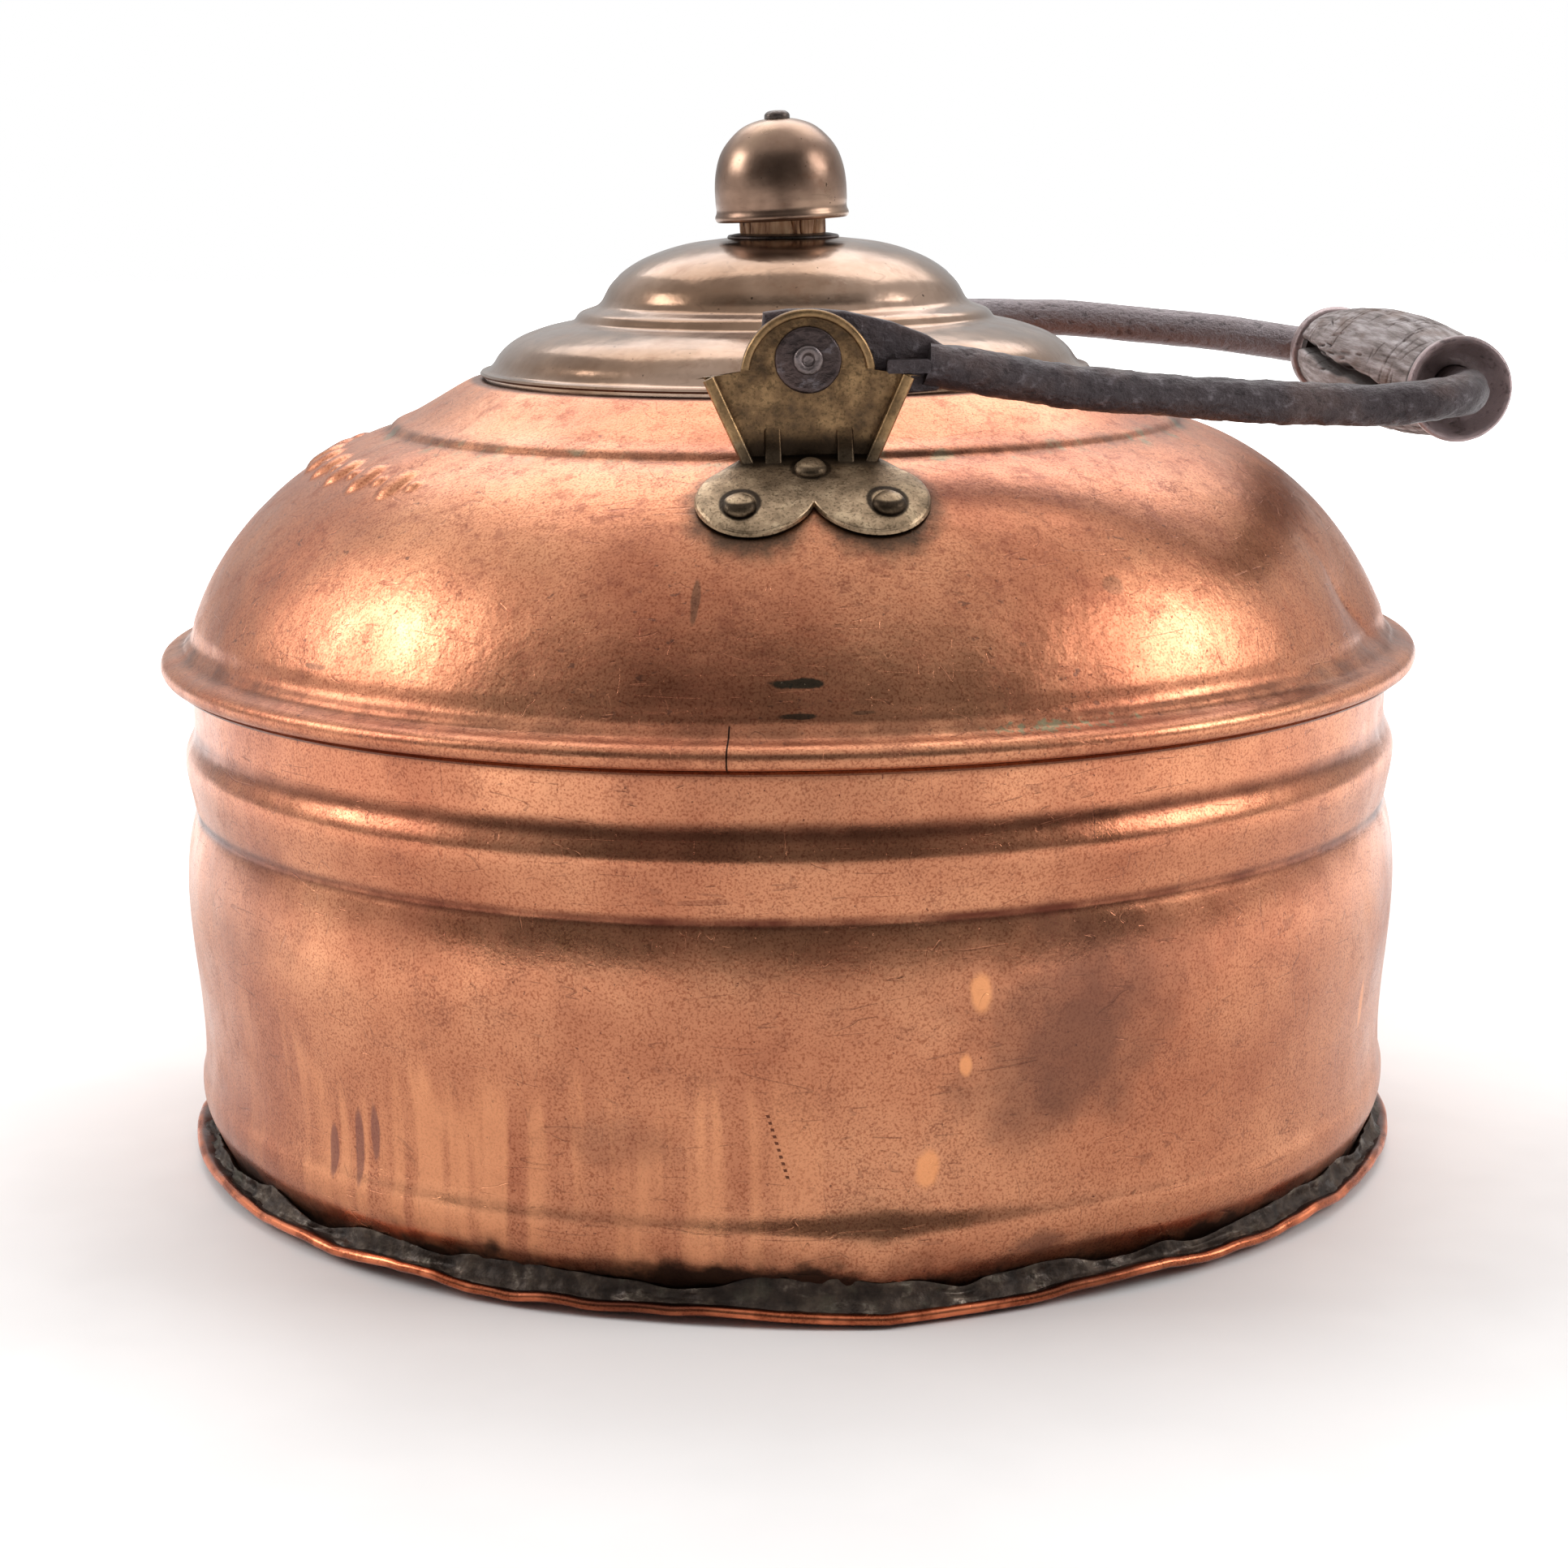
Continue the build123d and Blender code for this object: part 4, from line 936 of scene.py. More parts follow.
def make_spout():
    """Gooseneck tube, open at both ends, starting at the wall."""
    outer, inner = spout_grid(0), spout_grid(SPOUT_SHEET)
    outer += 0.12 * noise(outer, 16, 31)[..., None] * [1, 0.5, 0.5]
    grid = np.concatenate([outer, inner[::-1]])
    root = np.hypot(grid[..., 0], grid[..., 1])
    short = (root < WALL_R + 0.6) & (grid[..., 2] < 90)
    scale = np.where(short, (WALL_R + 0.6) / root, 1.0)
    grid[..., 1] = np.where(short, np.sqrt(np.maximum((WALL_R + 0.6) ** 2 - grid[..., 0] ** 2, 1)),
                            grid[..., 1])
    grid[..., 2] = np.where(short & (scale > 1), np.clip(grid[..., 2], SPOUT_Z - 22, SPOUT_Z + 24),
                            grid[..., 2])
    return solid("spout", grid.reshape(-1, 3), quads(*grid.shape[:2]))


def make_collar():
    """Flange soldered to the wall round the spout's root, with a soft bead of solder."""
    loop = smooth_line([
        (0.80, 0.15), (0.80, 1.6), (0.84, 1.9), (0.9, 1.25), (0.95, 1.0), (0.985, 0.85), (1.0, 0.5),
        (0.99, 0.12),
        (0.99, 0.12), (0.80, 0.15)], 0.02)[:-1]
    turn = np.linspace(0, 2 * pi, 240, endpoint=False)[:, None]
    x = 25.0 * loop[:, 0] * np.cos(turn)
    z = SPOUT_Z + 22.5 * loop[:, 0] * np.sin(turn)
    lift = loop[:, 1] * (1 + 0.12 * noise(np.stack([x, 0 * x, z], -1), 5, 33))
    grid = np.stack([x, np.sqrt((WALL_R + lift) ** 2 - x ** 2), z], -1)
    return solid("spout_collar_flange", grid.reshape(-1, 3), quads(*grid.shape[:2]))


def make_lip():
    """Rolled ring round the spout's tip."""
    line = smooth_line(SPOUT_STATIONS, 1.6)
    y, z, tip_r, _ = line[-1]
    step_y, step_z, _, _ = line[-1] - line[-2]
    loop = smooth_line([
        (tip_r - 1.3, -0.5), (tip_r - 0.5, -1.4), (tip_r + 0.4, -1.5), (tip_r + 0.95, -0.8),
        (tip_r + 1.0, 0.1),
        (tip_r + 0.7, 0.9), (tip_r, 1.3), (tip_r - 0.8, 1.1), (tip_r - 1.3, 0.4), (tip_r - 1.3, -0.5)],
        0.25)[:-1]
    return stand(lathe("spout_tip_ring", loop, 96), (0, y, z), (0, step_y, step_z))


# ------------------------------------------------------------------ ears
EAR_TOP_R, EAR_TOP_Z = 11.6, 155.3      # round top of the upright plate
EAR_HALF, EAR_FOOT_HALF = 17.9, 11.2
EAR_LOW_Z = 141.2
NOTCH_X, NOTCH_Z = 11.5, 156.12
SHOULDER_Z = 155.65                     # shoulder's outer corner


def dome_point(x, y, lift):
    """Point over (x, y) on the dome, raised by lift along the dome's normal."""
    r = np.hypot(x, y)
    out = (r - DOME_ARC_R) / DOME_ARC
    height = np.sqrt(1 - out ** 2)
    return np.stack([
        x + lift * out * x / r, y + lift * out * y / r, DOME_ARC_Z + DOME_ARC * height + lift * height],
        -1)


def foot_reach(angle):
    """How far the foot plate reaches from its middle, along a direction in plan."""
    steps = np.linspace(0, 26, 1300)[:, None]
    x = steps * np.cos(angle)
    y = FOOT_MIDDLE + steps * np.sin(angle)
    lobes = np.hypot((np.abs(x) - 9.6) / 10.2, (y + 89.0) / 8.4) < 1
    waist = (np.abs(x) < 11.2 + 1.0 * (-77.7 - y)) & (y < -77.4) & (np.abs(x) < 16) & (y > -91
            + np.abs(x) * 0.53)
    return (steps * (lobes | waist)).max(axis=0)


FOOT_MIDDLE = -86.0


def make_foot(name):
    """Foot plate: two lobes and a notch, lying on the dome with a thick rounded edge."""
    angle = np.linspace(0, 2 * pi, 360, endpoint=False)
    far = foot_reach(angle)
    for _ in range(2):
        far = (np.roll(far, 1) + far * 2 + np.roll(far, -1)) / 4
    profile = smooth_line([
        (0.0, EAR_T), (0.6, EAR_T), (0.9, EAR_T), (0.955, EAR_T - 0.12), (0.985, EAR_T - 0.4),
        (1.0, EAR_T * 0.5),
        (0.99, 0.15), (0.96, 0.0), (0.0, 0.0)], 0.03)
    share, lift = profile[:, 0], profile[:, 1] + FOOT_GAP
    x = share * (far * np.cos(angle))[:, None]
    y = FOOT_MIDDLE + share * (far * np.sin(angle))[:, None]
    sag = 0.12 * noise(np.stack([x, y, 0 * x], -1), 6, 41) * smoothstep(0.3, 1.2, lift)
    grid = dome_point(x, y, lift + sag)
    return solid(name, grid.reshape(-1, 3), quads(*grid.shape[:2]))


def strip(name, path, width, depth, bevel, back):
    """Bar with rounded corners along a path in the ear's plane, its inner face at back."""
    points = np.array([(x, -back - depth / 2, z) for x, z in path])
    ahead = np.gradient(points, axis=0)
    ahead /= np.linalg.norm(ahead, axis=1)[:, None]
    side = np.cross(ahead, [0, 1, 0])
    loop = rounded_box(width, depth, bevel)
    grid = points[:, None] + loop[:, :1] * side[:, None] + loop[:, 1:] * np.array([0, 1, 0])
    count = len(loop)
    faces = quads(len(points), count, wrap_rows=False)
    faces += [list(range(count)), list(range(len(points) * count - count, len(points) * count))]
    return solid(name, grid.reshape(-1, 3), faces)


def make_ear():
    """Stamped brass ear: upright plate, raised border, folded side flanges, gusset tabs and foot."""
    top = [(EAR_TOP_R * cos(a), EAR_TOP_Z + EAR_TOP_R * sin(a))
           for a in np.linspace(radians(4), radians(176), 48)]
    outline = [(-EAR_FOOT_HALF, EAR_LOW_Z), (EAR_FOOT_HALF, EAR_LOW_Z), (EAR_HALF, SHOULDER_Z),
               (NOTCH_X, NOTCH_Z)]
    outline += top + [(-NOTCH_X, NOTCH_Z), (-EAR_HALF, SHOULDER_Z)]
    pin = [(PIN_R * cos(a), PIVOT_Z + PIN_R * sin(a)) for a in np.linspace(0, 2 * pi, 24, endpoint=False)]
    pieces = [plate(
        "ear_plate", outline, [pin], EAR_T, 0.3, lambda a, b, depth: (a, -EAR_Y - EAR_T / 2 - depth, b))]
    arc = [((EAR_TOP_R - 0.75) * cos(a), EAR_TOP_Z + (EAR_TOP_R - 0.75) * sin(a))
           for a in np.linspace(radians(8), radians(172), 60)]
    pieces.append(strip("border", arc, 1.5, 2.1, 0.6, EAR_Y + 0.35))
    for sign in (1, -1):
        low = np.array([sign * (EAR_FOOT_HALF - 0.7), EAR_LOW_Z - 0.4])
        high = np.array([sign * (EAR_HALF - 0.85), SHOULDER_Z - 0.25])
        side = [tuple(low + (high - low) * t) for t in np.linspace(0, 1, 12)]
        pieces.append(strip("side_flange", side, 2.1, 3.9, 0.7, EAR_Y + 0.2))
        # Gusset tab pressed out of the plate, bent down onto the foot
        tab = [(-EAR_Y - 0.6, 147.0), (-EAR_Y - 1.3, 146.0), (-EAR_Y - 2.6, 143.8), (-EAR_Y - 3.6, 141.6),
               (-EAR_Y - 4.0, 140.0)]
        path = np.array([(sign * 6.2, y, z) for y, z in smooth_line(tab, 0.5)])
        pieces.append(tube("gusset", path, lambda i: rounded_box(2.9, 1.3, 0.5)))
    pieces.append(make_foot("foot"))
    return joined("ear_bracket_back", pieces)


def make_rivets():
    """Three rivets through the foot and the dome, heads hammered a little out of round."""
    pieces = []
    for seed, (x, y) in enumerate(RIVETS):
        top = FOOT_GAP + EAR_T
        loop = smooth_line([
            (0, -2.95), (1.9, -2.95), (1.9, -2.95), (2.5, -2.05), (2.5, -2.05), (RIVET_R, -2.0),
            (RIVET_R, -2.0),
            (RIVET_R, top - 0.2), (RIVET_R, top - 0.2), (RIVET_HEAD_R, top - 0.1),
            (RIVET_HEAD_R, top - 0.1),
            (RIVET_HEAD_R, top + 0.35), (2.45, top + 0.95), (1.6, top + 1.4), (0.7, top + 1.6),
            (0, top + 1.62)], 0.25)

        def hammered(turn, r, z, seed=seed):
            dented = turned_noise(turn, r, z, 2.4, 50 + seed)
            return r * (1 + 0.04 * dented), z + 0.1 * dented * smoothstep(top, top + 1, z)

        rivet = lathe("rivet", loop, 40, hammered)
        centre = dome_point(np.float64(x), np.float64(y), 0.0)
        above = dome_point(np.float64(x), np.float64(y), 1.0)
        pieces.append(stand(rivet, centre, above - centre))
    return joined("ear_rivet_set_back", pieces)


# ------------------------------------------------------------------ pivots
def pivot_lathe(name, profile, seed):
    """Turned iron piece about the handle's pivot, from (distance outward, radius) points."""
    loop = np.array([(radius, depth) for depth, radius in smooth_line(profile, 0.2)])

    def worn(turn, r, z):
        rough = turned_noise(turn, r, z, 1.8, seed)
        return r + 0.04 * rough, z + 0.05 * rough

    return stand(lathe(name, loop, 64, worn), (0, 0, PIVOT_Z), (0, -1, 0))


def make_pin():
    """Pivot pin: peened inner end inside the handle's eye, low domed head with a dimple outside."""
    outside = EAR_Y + EAR_T + 0.9
    return pivot_lathe("handle_pin_back", [
        (FLAT_Y - 1.7, 0), (FLAT_Y - 1.7, 2.4), (FLAT_Y - 0.9, 3.9), (FLAT_Y - 0.1, 4.2),
        (FLAT_Y - 0.1, 4.2),
        (FLAT_Y - 0.1, PIN_R - 0.05), (FLAT_Y - 0.1, PIN_R - 0.05), (outside - 0.2, PIN_R - 0.05),
        (outside - 0.2, PIN_R - 0.05), (outside + 0.02, 2.6), (outside + 0.02, 2.6),
        (outside + 0.75, 2.45),
        (outside + 1.0, 2.0), (outside + 0.8, 1.2), (outside + 0.3, 0.8), (outside + 0.2, 0)], 61)


def make_washer():
    """Iron washer under the pin's outer head, with a bevelled rim."""
    inside = EAR_Y + EAR_T
    return pivot_lathe("handle_washer_back", [
        (inside, PIN_R), (inside, PIN_R), (inside, 5.5), (inside + 0.15, 5.68), (inside + 0.5, 5.7),
        (inside + 0.8, 5.5),
        (inside + 0.9, 5.1), (inside + 0.86, 4.2), (inside + 0.86, 3.2), (inside + 0.86, PIN_R),
        (inside + 0.86, PIN_R), (inside, PIN_R)], 63)


# ------------------------------------------------------------------ handle
BAIL_CORNERS = [
    (20.3, -75.9, 157.3), (44.0, -73.0, 152.7), (75.0, -67.5, 149.4), (100.0, -64.2, 147.6),
    (120.5, -63.4, 149.3),
    (120.5, 63.4, 149.3), (98.0, 64.4, 152.9), (66.0, 69.4, 156.2), (20.3, 75.9, 157.2)]
BAIL_BENDS = [60, 60, 40, 10, 10, 60, 60]


def arm_point(along, up, depth, side):
    """Point in the plane of a handle arm's flattened end: along the arm and up from the pivot."""
    droop = radians(BAIL_DROOP)
    return (along * cos(droop) + up * sin(droop), side * depth,
            PIVOT_Z - along * sin(droop) + up * cos(droop))


def crusty(grid, path):
    """Forging scale: heavy on the arm by the back ear, lighter past the grip."""
    heavy = smoothstep(-20, -60, path[:, 1])[:, None]
    rough = (0.05 + 0.17 * heavy) * noise(grid, 3.4, 71) + (0.02 + 0.08 * heavy) * noise(grid, 1.3, 72)
    swell = 0.35 * heavy * noise(np.repeat(path[:, None], grid.shape[1], 1), 24, 73)
    out = grid - path[:, None]
    out /= np.linalg.norm(out, axis=-1)[..., None]
    return grid + out * (rough + swell)[..., None]


def make_bail():
    """Iron handle: one rod bent round the grip, its ends forged flat with an eye and a stop lug."""
    path = rounded_path(BAIL_CORNERS, BAIL_BENDS)
    pieces = [tube("rod", path, lambda i: circle(ROD_R - 0.12, 48), crusty)]
    outline = [
        (-8.0, 7.4), (-4.0, 8.2), (1.0, 8.6), (6.0, 8.5), (14.0, 7.2), (20.2, 5.4), (23.0, 3.9),
        (24.4, 2.4), (24.4, -2.6),
        (22.6, -4.1), (20.0, -4.5), (13.0, -5.6), (7.0, -6.1), (-4.0, -6.0), (-7.0, -4.8), (-8.2, -2.4)]
    eye = [(2.03 * cos(a), 2.03 * sin(a)) for a in np.linspace(0, 2 * pi, 24, endpoint=False)]
    for side in (-1, 1):
        middle = FLAT_Y + FLAT_T / 2
        pieces.append(plate(
            "flat", outline, [eye], FLAT_T, 0.7, lambda a, b,
            depth: arm_point(a, b, middle + depth, side)))
        lug = [arm_point(17.2, 0, depth, side)
               for depth in np.linspace(FLAT_Y + FLAT_T - 0.6, FLAT_Y + FLAT_T + 3.6, 8)]
        pieces.append(tube("lug", np.array(lug), lambda i: rounded_box(7.4, 2.3, 0.4)))
    return joined("handle_bail", pieces)


def grip_surface(turn, y):
    """Depth of the splits and checks at a turn about the grip, from the top towards the kettle."""
    line = 74 + (WOOD_HALF - y) / (2 * WOOD_HALF) * 30
    wander = 2.2 * np.sin(y / 7.0) + 1.2 * np.sin(y / 2.6 + 1)
    off = np.abs(from_turn(turn, line + wander)) * 0.19
    depth = 3.2 * np.exp(-(off / 1.1) ** 2) * smoothstep(-44, -36, y)
    second = np.abs(from_turn(turn, 300 + 9 * np.sin(y / 21))) * 0.19
    depth = depth + 1.5 * np.exp(-(second / 0.5) ** 2) * smoothstep(-45, -10, y)
    random = np.random.default_rng(7)
    for _ in range(150):
        centre_y, centre_turn = random.uniform(-44, 44), random.uniform(0, 360)
        lean = random.choice([0.0, 1.35]) + random.normal(0, 0.18)
        length, width = random.uniform(1.5, 4.5), random.uniform(0.16, 0.4)
        beside = from_turn(turn, centre_turn) * 0.19
        ahead = y - centre_y
        along = ahead * cos(lean) + beside * sin(lean)
        across = beside * cos(lean) - ahead * sin(lean)
        depth = depth + random.uniform(0.35, 0.9) * np.exp(-(along / length) ** 4 - (across / width) ** 2)
    return depth


def make_grip():
    """Turned wooden barrel, split along its length and checked all over."""
    end = WOOD_HALF - 0.8
    y = np.linspace(-end, end, 300)
    radius = WOOD_R - (WOOD_R - WOOD_END_R) * (y / WOOD_HALF) ** 2
    turn = np.linspace(0, 360, 420, endpoint=False)[:, None]
    r = radius - grip_surface(turn, y) - 0.12
    across = np.radians(turn)
    grain = noise(np.stack([r * np.sin(across) * 1.0, y / 9 + 0 * r, r * np.cos(across)], -1), 1.1, 81)
    r = r + 0.11 * grain
    # The ends are hollowed for the ferrules' cups, and the bore clears the rod
    bore_y = np.array([end, end - 4.0, end - 4.1, 0, 4.1 - end, 4.0 - end, -end])
    bore_r = np.array([8.0, 8.0, 4.5, 4.5, 4.5, 8.0, 8.0])
    r = np.concatenate([r, bore_r + 0 * turn], axis=1)
    y = np.concatenate([y, bore_y]) + 0 * turn
    grid = np.stack([GRIP_X - r * np.sin(across), y, GRIP_Z + r * np.cos(across)], -1)
    return solid("grip_barrel", grid.reshape(-1, 3), quads(*grid.shape[:2]), sharp=55)


def make_ferrule():
    """Iron ferrule at the front end of the grip: a trumpet mouth with a rolled edge."""
    end = GRIP_HALF
    loop = smooth_line([
        (4.1, 44.4), (7.7, 44.4), (7.7, 44.4), (7.75, 47.2), (8.2, 47.6), (9.2, 47.9), (9.55, 48.7),
        (FERRULE_R, 49.9),
        (9.5, 50.5), (9.1, end), (8.7, 50.5), (8.1, 49.4), (7.2, 47.9), (6.1, 46.7), (4.1, 46.0),
        (4.1, 46.0),
        (4.1, 44.4)], 0.3)[:-1]

    def worn(turn, r, z):
        rough = turned_noise(turn, r, z, 4, 83)
        return r + 0.07 * rough * smoothstep(5, 7, r), z

    return stand(lathe("ferrule_cup_front", loop, 120, worn), (GRIP_X, 0, GRIP_Z), (0, 1, 0))


# ------------------------------------------------------------------ lid and knob
def lid_warp(turn, r, z):
    """Faint unevenness of the raised lid."""
    wave = 0.12 * ring_noise(turn, r, z, 24, 91) * smoothstep(151.9, 154, z)
    return r + 0.5 * wave, z + wave * smoothstep(176.4, 174, z)


def make_lid():
    """Raised bronze lid with its step, its ridge and its flat flange."""
    line = smooth_line([
        (59.2, 150.95), (59.5, 151.35), (59.2, 151.75), (58.2, 151.9), (57.3, 152.6), (55.6, 154.9),
        (53.8, 156.6),
        (51.5, 158.0), (48.9, 159.0), (46.0, 159.9), (43.2, 160.5), (41.6, 160.85), (40.9, 161.2),
        (40.4, 161.9),
        (39.7, 162.6), (38.8, 163.0), (37.6, 163.4), (36.4, 163.9), (35.4, 164.9), (34.8, 166.0),
        (34.0, 167.4),
        (32.0, 169.6), (28.6, 172.0), (24.0, 174.0), (19.0, 175.4), (13.2, 176.2), (11.4, LID_TOP_Z),
        (1.6, LID_TOP_Z)], 0.5)
    return lathe("lid_cover", shell_loop(line, 0.85), 480, lid_warp)


def tilted(obj):
    """Lean a knob piece on the lid's flat."""
    seat = Matrix.Translation((0, 0, LID_TOP_Z * MM))
    lean = Matrix.Rotation(radians(-KNOB_TILT), 4, "Y")
    obj.data.transform(seat @ lean @ seat.inverted())
    return obj


def make_knob_cap():
    """Acorn cap of bronze, hollow, with a small rolled lip."""
    loop = smooth_line([
        (11.9, 180.6), (12.0, 180.0), (12.5, 179.9), (12.9, 180.3), (12.95, 181.0), (12.7, 181.6),
        (12.75, 183.5),
        (12.75, 186.5), (12.3, 189.9), (11.1, 193.2), (9.2, 195.7), (6.8, 197.7), (4.3, 198.7),
        (3.0, 199.0),
        (1.6, 199.1), (1.6, 199.1), (1.6, 197.4), (1.6, 197.4), (4.4, 197.3), (8.4, 194.8), (11.1, 190.0),
        (11.8, 186.0), (11.9, 180.6)], 0.35)[:-1]

    def worn(turn, r, z):
        return r + 0.06 * ring_noise(turn, r, z, 8, 93), z

    return tilted(lathe("knob_acorn", loop, 160, worn))


def make_knob_neck():
    """Wooden core of the knob, cracked upright, standing on the washer."""
    loop = smooth_line([
        (1.6, 177.1), (8.3, 177.1), (8.3, 177.1), (8.35, 178.5), (8.3, 183.0), (8.2, 188.0), (8.2, 188.0),
        (4.2, 197.2), (4.2, 197.2), (1.6, 197.2), (1.6, 197.2), (1.6, 177.1)], 0.35)[:-1]
    random = np.random.default_rng(11)
    cracks = [(random.uniform(0, 360), random.uniform(1.2, 3.0), random.uniform(0.3, 0.8))
              for _ in range(22)]

    def cracked(turn, r, z):
        cut = 0 * r
        for centre, width, depth in cracks:
            wander = 3 * np.sin(z / 1.7 + centre)
            cut = cut + depth * hill(from_turn(turn, centre + wander), 0, width)
        return r - cut * smoothstep(6, 8, r), z

    return tilted(lathe("knob_core", loop, 400, cracked))


def make_knob_washer():
    """Dark metal washer between the lid and the knob, its edge dressed down."""
    loop = smooth_line([
        (1.6, 176.4), (1.6, 176.4), (10.7, 176.4), (10.9, 176.6), (10.7, 176.95), (10.1, 177.1),
        (1.6, 177.1),
        (1.6, 177.1), (1.6, 176.4)], 0.3)[:-1]
    return lathe("knob_seat_washer", loop, 120)


def make_knob_screw():
    """Rod through the knob with its peened head on the cap's top."""
    loop = smooth_line([
        (0, 170.3), (1.5, 170.3), (1.5, 170.3), (1.5, 199.0), (1.5, 199.0), (2.5, 199.05), (2.5, 199.05),
        (2.45, 199.9), (1.8, 200.45), (0.9, 200.62), (0, 200.65)], 0.3)

    def peened(turn, r, z):
        return r * (1 + 0.06 * ring_noise(turn, r, z, 2.5, 95)), z

    return tilted(lathe("knob_rod", loop, 48, peened))


# ------------------------------------------------------------------ assembling
wall_finish = wall_copper()
dome_finish = dome_copper()
spout_finish = plain_copper("spout_copper", 0.3)
trim_finish = plain_copper("trim_copper", 0.9)
brass_finish = aged_brass()
bail_finish = forged_iron("bail_iron", 1.0, (68, 60, 62), 0.7, worn=0.65)
pivot_finish = forged_iron("pivot_iron", 0.2, (74, 62, 60))
pin_finish = forged_iron("pin_iron", 0.15, (116, 104, 102))
ferrule_finish = forged_iron("ferrule_iron", 0.15, (176, 154, 154), 0.25)
lid_finish = polished_bronze("lid_bronze", ((120, 95, 77), (140, 114, 95), (160, 135, 118)), 0.14)
cap_finish = polished_bronze("cap_bronze", ((106, 83, 70), (136, 110, 94), (156, 130, 110)), 0.26)
neck_finish = knob_wood()
hardware_finish = forged_iron("hardware_iron", 0.1, (78, 70, 64))

put(make_wall(), wall_finish, "kettle_body", "copper", "body_wall")
put(make_dome(), dome_finish, "kettle_body", "copper", "shoulder_dome")
put(make_flange(), flange_copper(), "kettle_body", "copper", "base_plate")
put(make_solder(), solder(), "kettle_body", "solder", "base_solder")
put(make_spout(), spout_finish, "kettle_body", "copper", "spout_tube")
put(make_collar(), spout_finish, "kettle_body", "copper", "spout_collar")
put(make_lip(), spout_finish, "kettle_body", "copper", "spout_lip")

for make, stem, node, finish, slot in [
        (make_ear, "ear_bracket", "ear", brass_finish, "brass"),
        (make_rivets, "ear_rivet_set", "ear_rivets", brass_finish, "brass"),
        (make_pin, "handle_pin", "pivot_pin", pin_finish, "iron"),
        (make_washer, "handle_washer", "pivot_washer", pivot_finish, "iron")]:
    back = make()
    front = mirrored(back, stem + "_front")
    put(back, finish, "kettle_body", slot, node + "_back")
    put(front, finish, "kettle_body", slot, node + "_front")

put(make_bail(), bail_finish, "bail", "iron", "bail_rod")
put(make_grip(), weathered_wood(), "grip", "grip_wood", "grip_wood")
ferrule = make_ferrule()
back_ferrule = mirrored(ferrule, "ferrule_cup_back")
put(ferrule, ferrule_finish, "grip", "ferrule", "grip_ferrule_front")
put(back_ferrule, ferrule_finish, "grip", "ferrule", "grip_ferrule_back")

put(make_lid(), lid_finish, "lid", "bronze", "lid_shell")
put(make_knob_cap(), cap_finish, "lid", "bronze", "knob_cap")
put(make_knob_neck(), neck_finish, "lid", "knob_wood", "knob_neck")
put(make_knob_washer(), hardware_finish, "lid", "bronze", "knob_washer")
put(make_knob_screw(), hardware_finish, "lid", "hardware", "knob_screw")

for node, finish in [
        ("rivet_burrs_back", trim_finish), ("rivet_burrs_front", trim_finish), ("lid_skirt", lid_finish),
        ("knob_nut", hardware_finish), ("knob_burr", hardware_finish)]:
    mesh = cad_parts[node].data
    mesh.materials.clear()
    mesh.materials.append(finish)

# ------------------------------------------------------------------ floor, light and camera
FLOOR_HALF = 4.0
bpy.ops.mesh.primitive_plane_add(size=2 * FLOOR_HALF, location=(0, 0, -0.0002))
floor = bpy.context.object
floor.name = "studio_floor"


def floor_paper():
    """Pale paper near the kettle. Away from it the floor glows, a painted light of strength 1 rising to 2
    beside and behind the kettle, so that it melts into the white surround.
    """
    s = Shader("floor_paper", 0.0, Specular_IOR_Level=0.2)
    s.tone = s.mix(s.fade(s.noise(60, 3.0), 0.4, 0.6), colour(244, 242, 241), colour(240, 238, 237))
    s.done(s.drift(0.5, 0.6, 30, 2.0))
    # Painted light: away from the kettle the floor glows, at strength 1 rising to 2 beside and behind it
    glow = s.add("ShaderNodeEmission")
    beside = s.span(s.math("ABSOLUTE", s.x), 0.2, 0.4, 0.0, 0.9)
    behind = s.span(s.y, 0.1, 0.35, 0.0, 1.0)
    s.feed(glow.inputs["Strength"], s.math("ADD", 1.0, s.math("MAXIMUM", beside, behind)))
    blend = s.add("ShaderNodeMixShader")
    s.feed(blend.inputs[0], s.fade(s.radius, 0.13, 0.4))
    s.feed(blend.inputs[1], s.surface.outputs[0])
    s.feed(blend.inputs[2], glow.outputs[0])
    s.feed(s.nodes["Material Output"].inputs["Surface"], blend.outputs[0])
    return s.material


floor.data.materials.append(floor_paper())


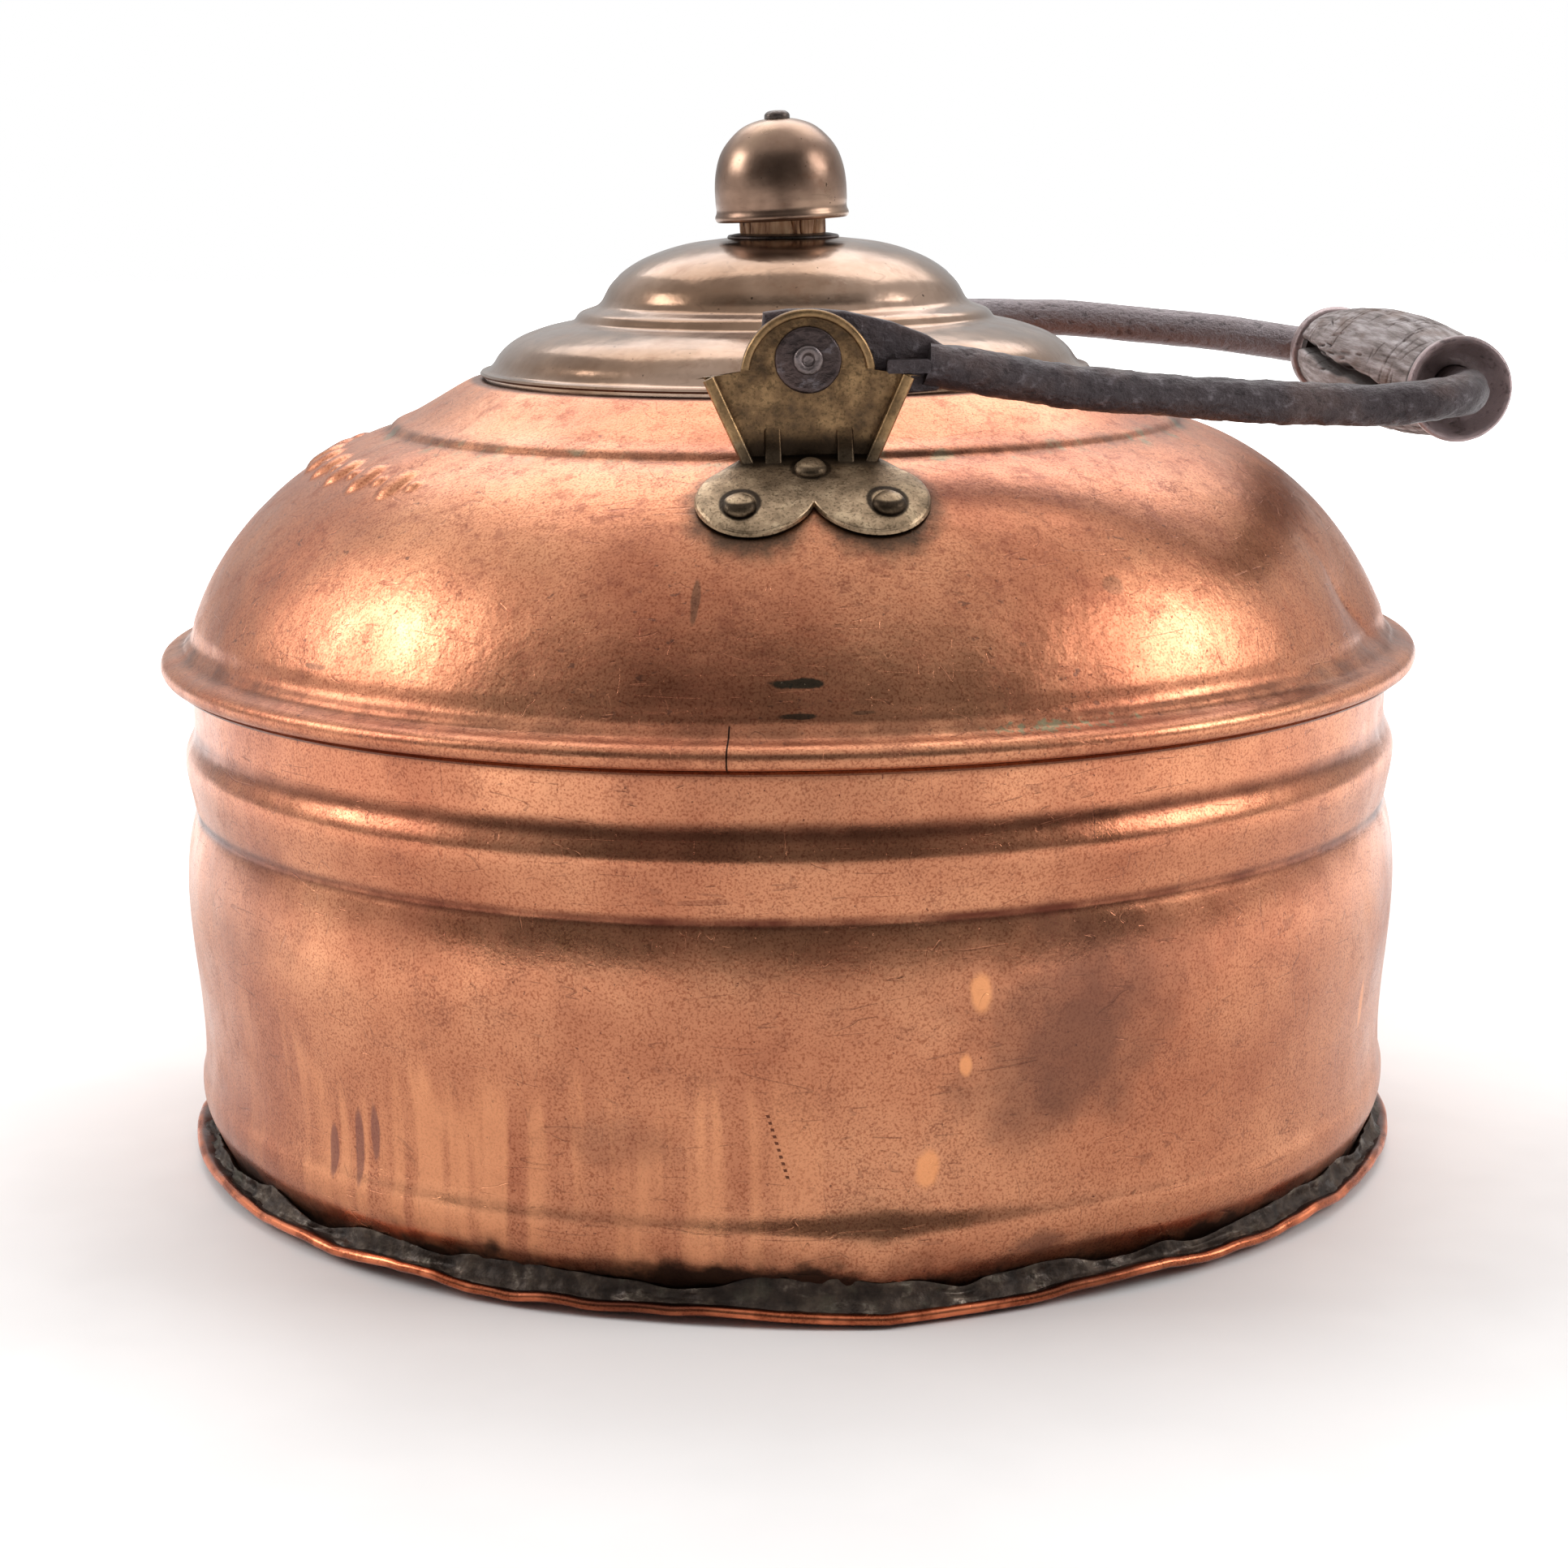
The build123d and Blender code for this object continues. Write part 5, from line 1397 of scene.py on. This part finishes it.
def make_world():
    """White surround for the camera. Reflections see a studio that is dark on the camera's side."""
    world = bpy.data.worlds.new("studio")
    bpy.context.scene.world = world
    world.use_nodes = True
    nodes, links = world.node_tree.nodes, world.node_tree.links
    nodes.clear()

    def add(kind, **settings):
        node = nodes.new(kind)
        for key, value in settings.items():
            setattr(node, key, value)
        return node

    def ranged(value, low, high, out_low, out_high):
        node = add("ShaderNodeMapRange", interpolation_type="SMOOTHSTEP")
        links.new(value, node.inputs["Value"])
        for socket, number in zip(("From Min", "From Max", "To Min", "To Max"),
                                  (low, high, out_low, out_high)):
            node.inputs[socket].default_value = number
        return node.outputs[0]

    way = add("ShaderNodeSeparateXYZ")
    links.new(add("ShaderNodeTexCoord").outputs["Generated"], way.inputs[0])
    toward = ranged(way.outputs["Y"], -0.05, -0.6, 0.0, 1.0)
    low = ranged(way.outputs["Z"], 0.92, 0.68, 0.0, 1.0)
    shade = add("ShaderNodeMath", operation="MULTIPLY")
    links.new(toward, shade.inputs[0])
    links.new(low, shade.inputs[1])
    strength = add("ShaderNodeMix", data_type="FLOAT")
    links.new(shade.outputs[0], strength.inputs[0])
    links.new(ranged(way.outputs["Z"], 0.05, 0.6, 0.6, 0.95), strength.inputs[2])
    strength.inputs[3].default_value = 0.13
    room = add("ShaderNodeBackground")
    room.inputs["Color"].default_value = (1.0, 1.0, 1.0, 1.0)
    links.new(strength.outputs[0], room.inputs["Strength"])
    white = add("ShaderNodeBackground")
    white.inputs["Color"].default_value = (1.0, 1.0, 1.0, 1.0)
    seen = add("ShaderNodeLightPath")
    mixed = add("ShaderNodeMixShader")
    links.new(seen.outputs["Is Camera Ray"], mixed.inputs[0])
    links.new(room.outputs[0], mixed.inputs[1])
    links.new(white.outputs[0], mixed.inputs[2])
    links.new(mixed.outputs[0], add("ShaderNodeOutputWorld").inputs["Surface"])


def softbox(name, place, target, width, height, radiance):
    """Rectangular area light at place facing target, in metres, with a set surface brightness."""
    light = bpy.data.lights.new(name, "AREA")
    light.shape = "RECTANGLE"
    light.size, light.size_y = width, height
    light.energy = radiance * pi * width * height
    lamp = bpy.data.objects.new(name, light)
    lamp.location = place
    lamp.rotation_euler = (Vector(target) - Vector(place)).to_track_quat("-Z", "Y").to_euler()
    bpy.context.scene.collection.objects.link(lamp)


make_world()
softbox("softbox_left", (-1.12, 0.05, 0.74), (0, 0, 0.1), 0.5, 0.5, 8.0)
softbox("softbox_right", (1.12, -0.28, 0.72), (0, 0, 0.1), 0.5, 0.5, 8.0)
softbox("softbox_top", (0.1, 0.75, 1.15), (0, 0, 0.12), 1.5, 0.95, 2.3)

CAMERA_AWAY = 0.6027            # metres from the kettle's axis
CAMERA_UP = 0.1951
CAMERA_TURN = -2.9              # degrees about the kettle
CAMERA_AIM = 0.1                # degrees to the left of the axis
CAMERA_PITCH = 11.92
CAMERA_ROLL = -0.65
camera_data = bpy.data.cameras.new("camera")
camera_data.lens = 70.1
camera_data.sensor_width = 36.0
camera_data.clip_start = 0.01
camera = bpy.data.objects.new("camera", camera_data)
bpy.context.scene.collection.objects.link(camera)
around = radians(CAMERA_TURN)
camera.matrix_world = (
    Matrix.Translation((CAMERA_AWAY * sin(around), -CAMERA_AWAY * cos(around), CAMERA_UP))
    @ Matrix.Rotation(radians(CAMERA_TURN + CAMERA_AIM), 4, "Z")
    @ Matrix.Rotation(radians(90 - CAMERA_PITCH), 4, "X") @ Matrix.Rotation(radians(CAMERA_ROLL), 4, "Z"))
bpy.context.scene.camera = camera
bpy.context.scene.view_settings.view_transform = "Standard"
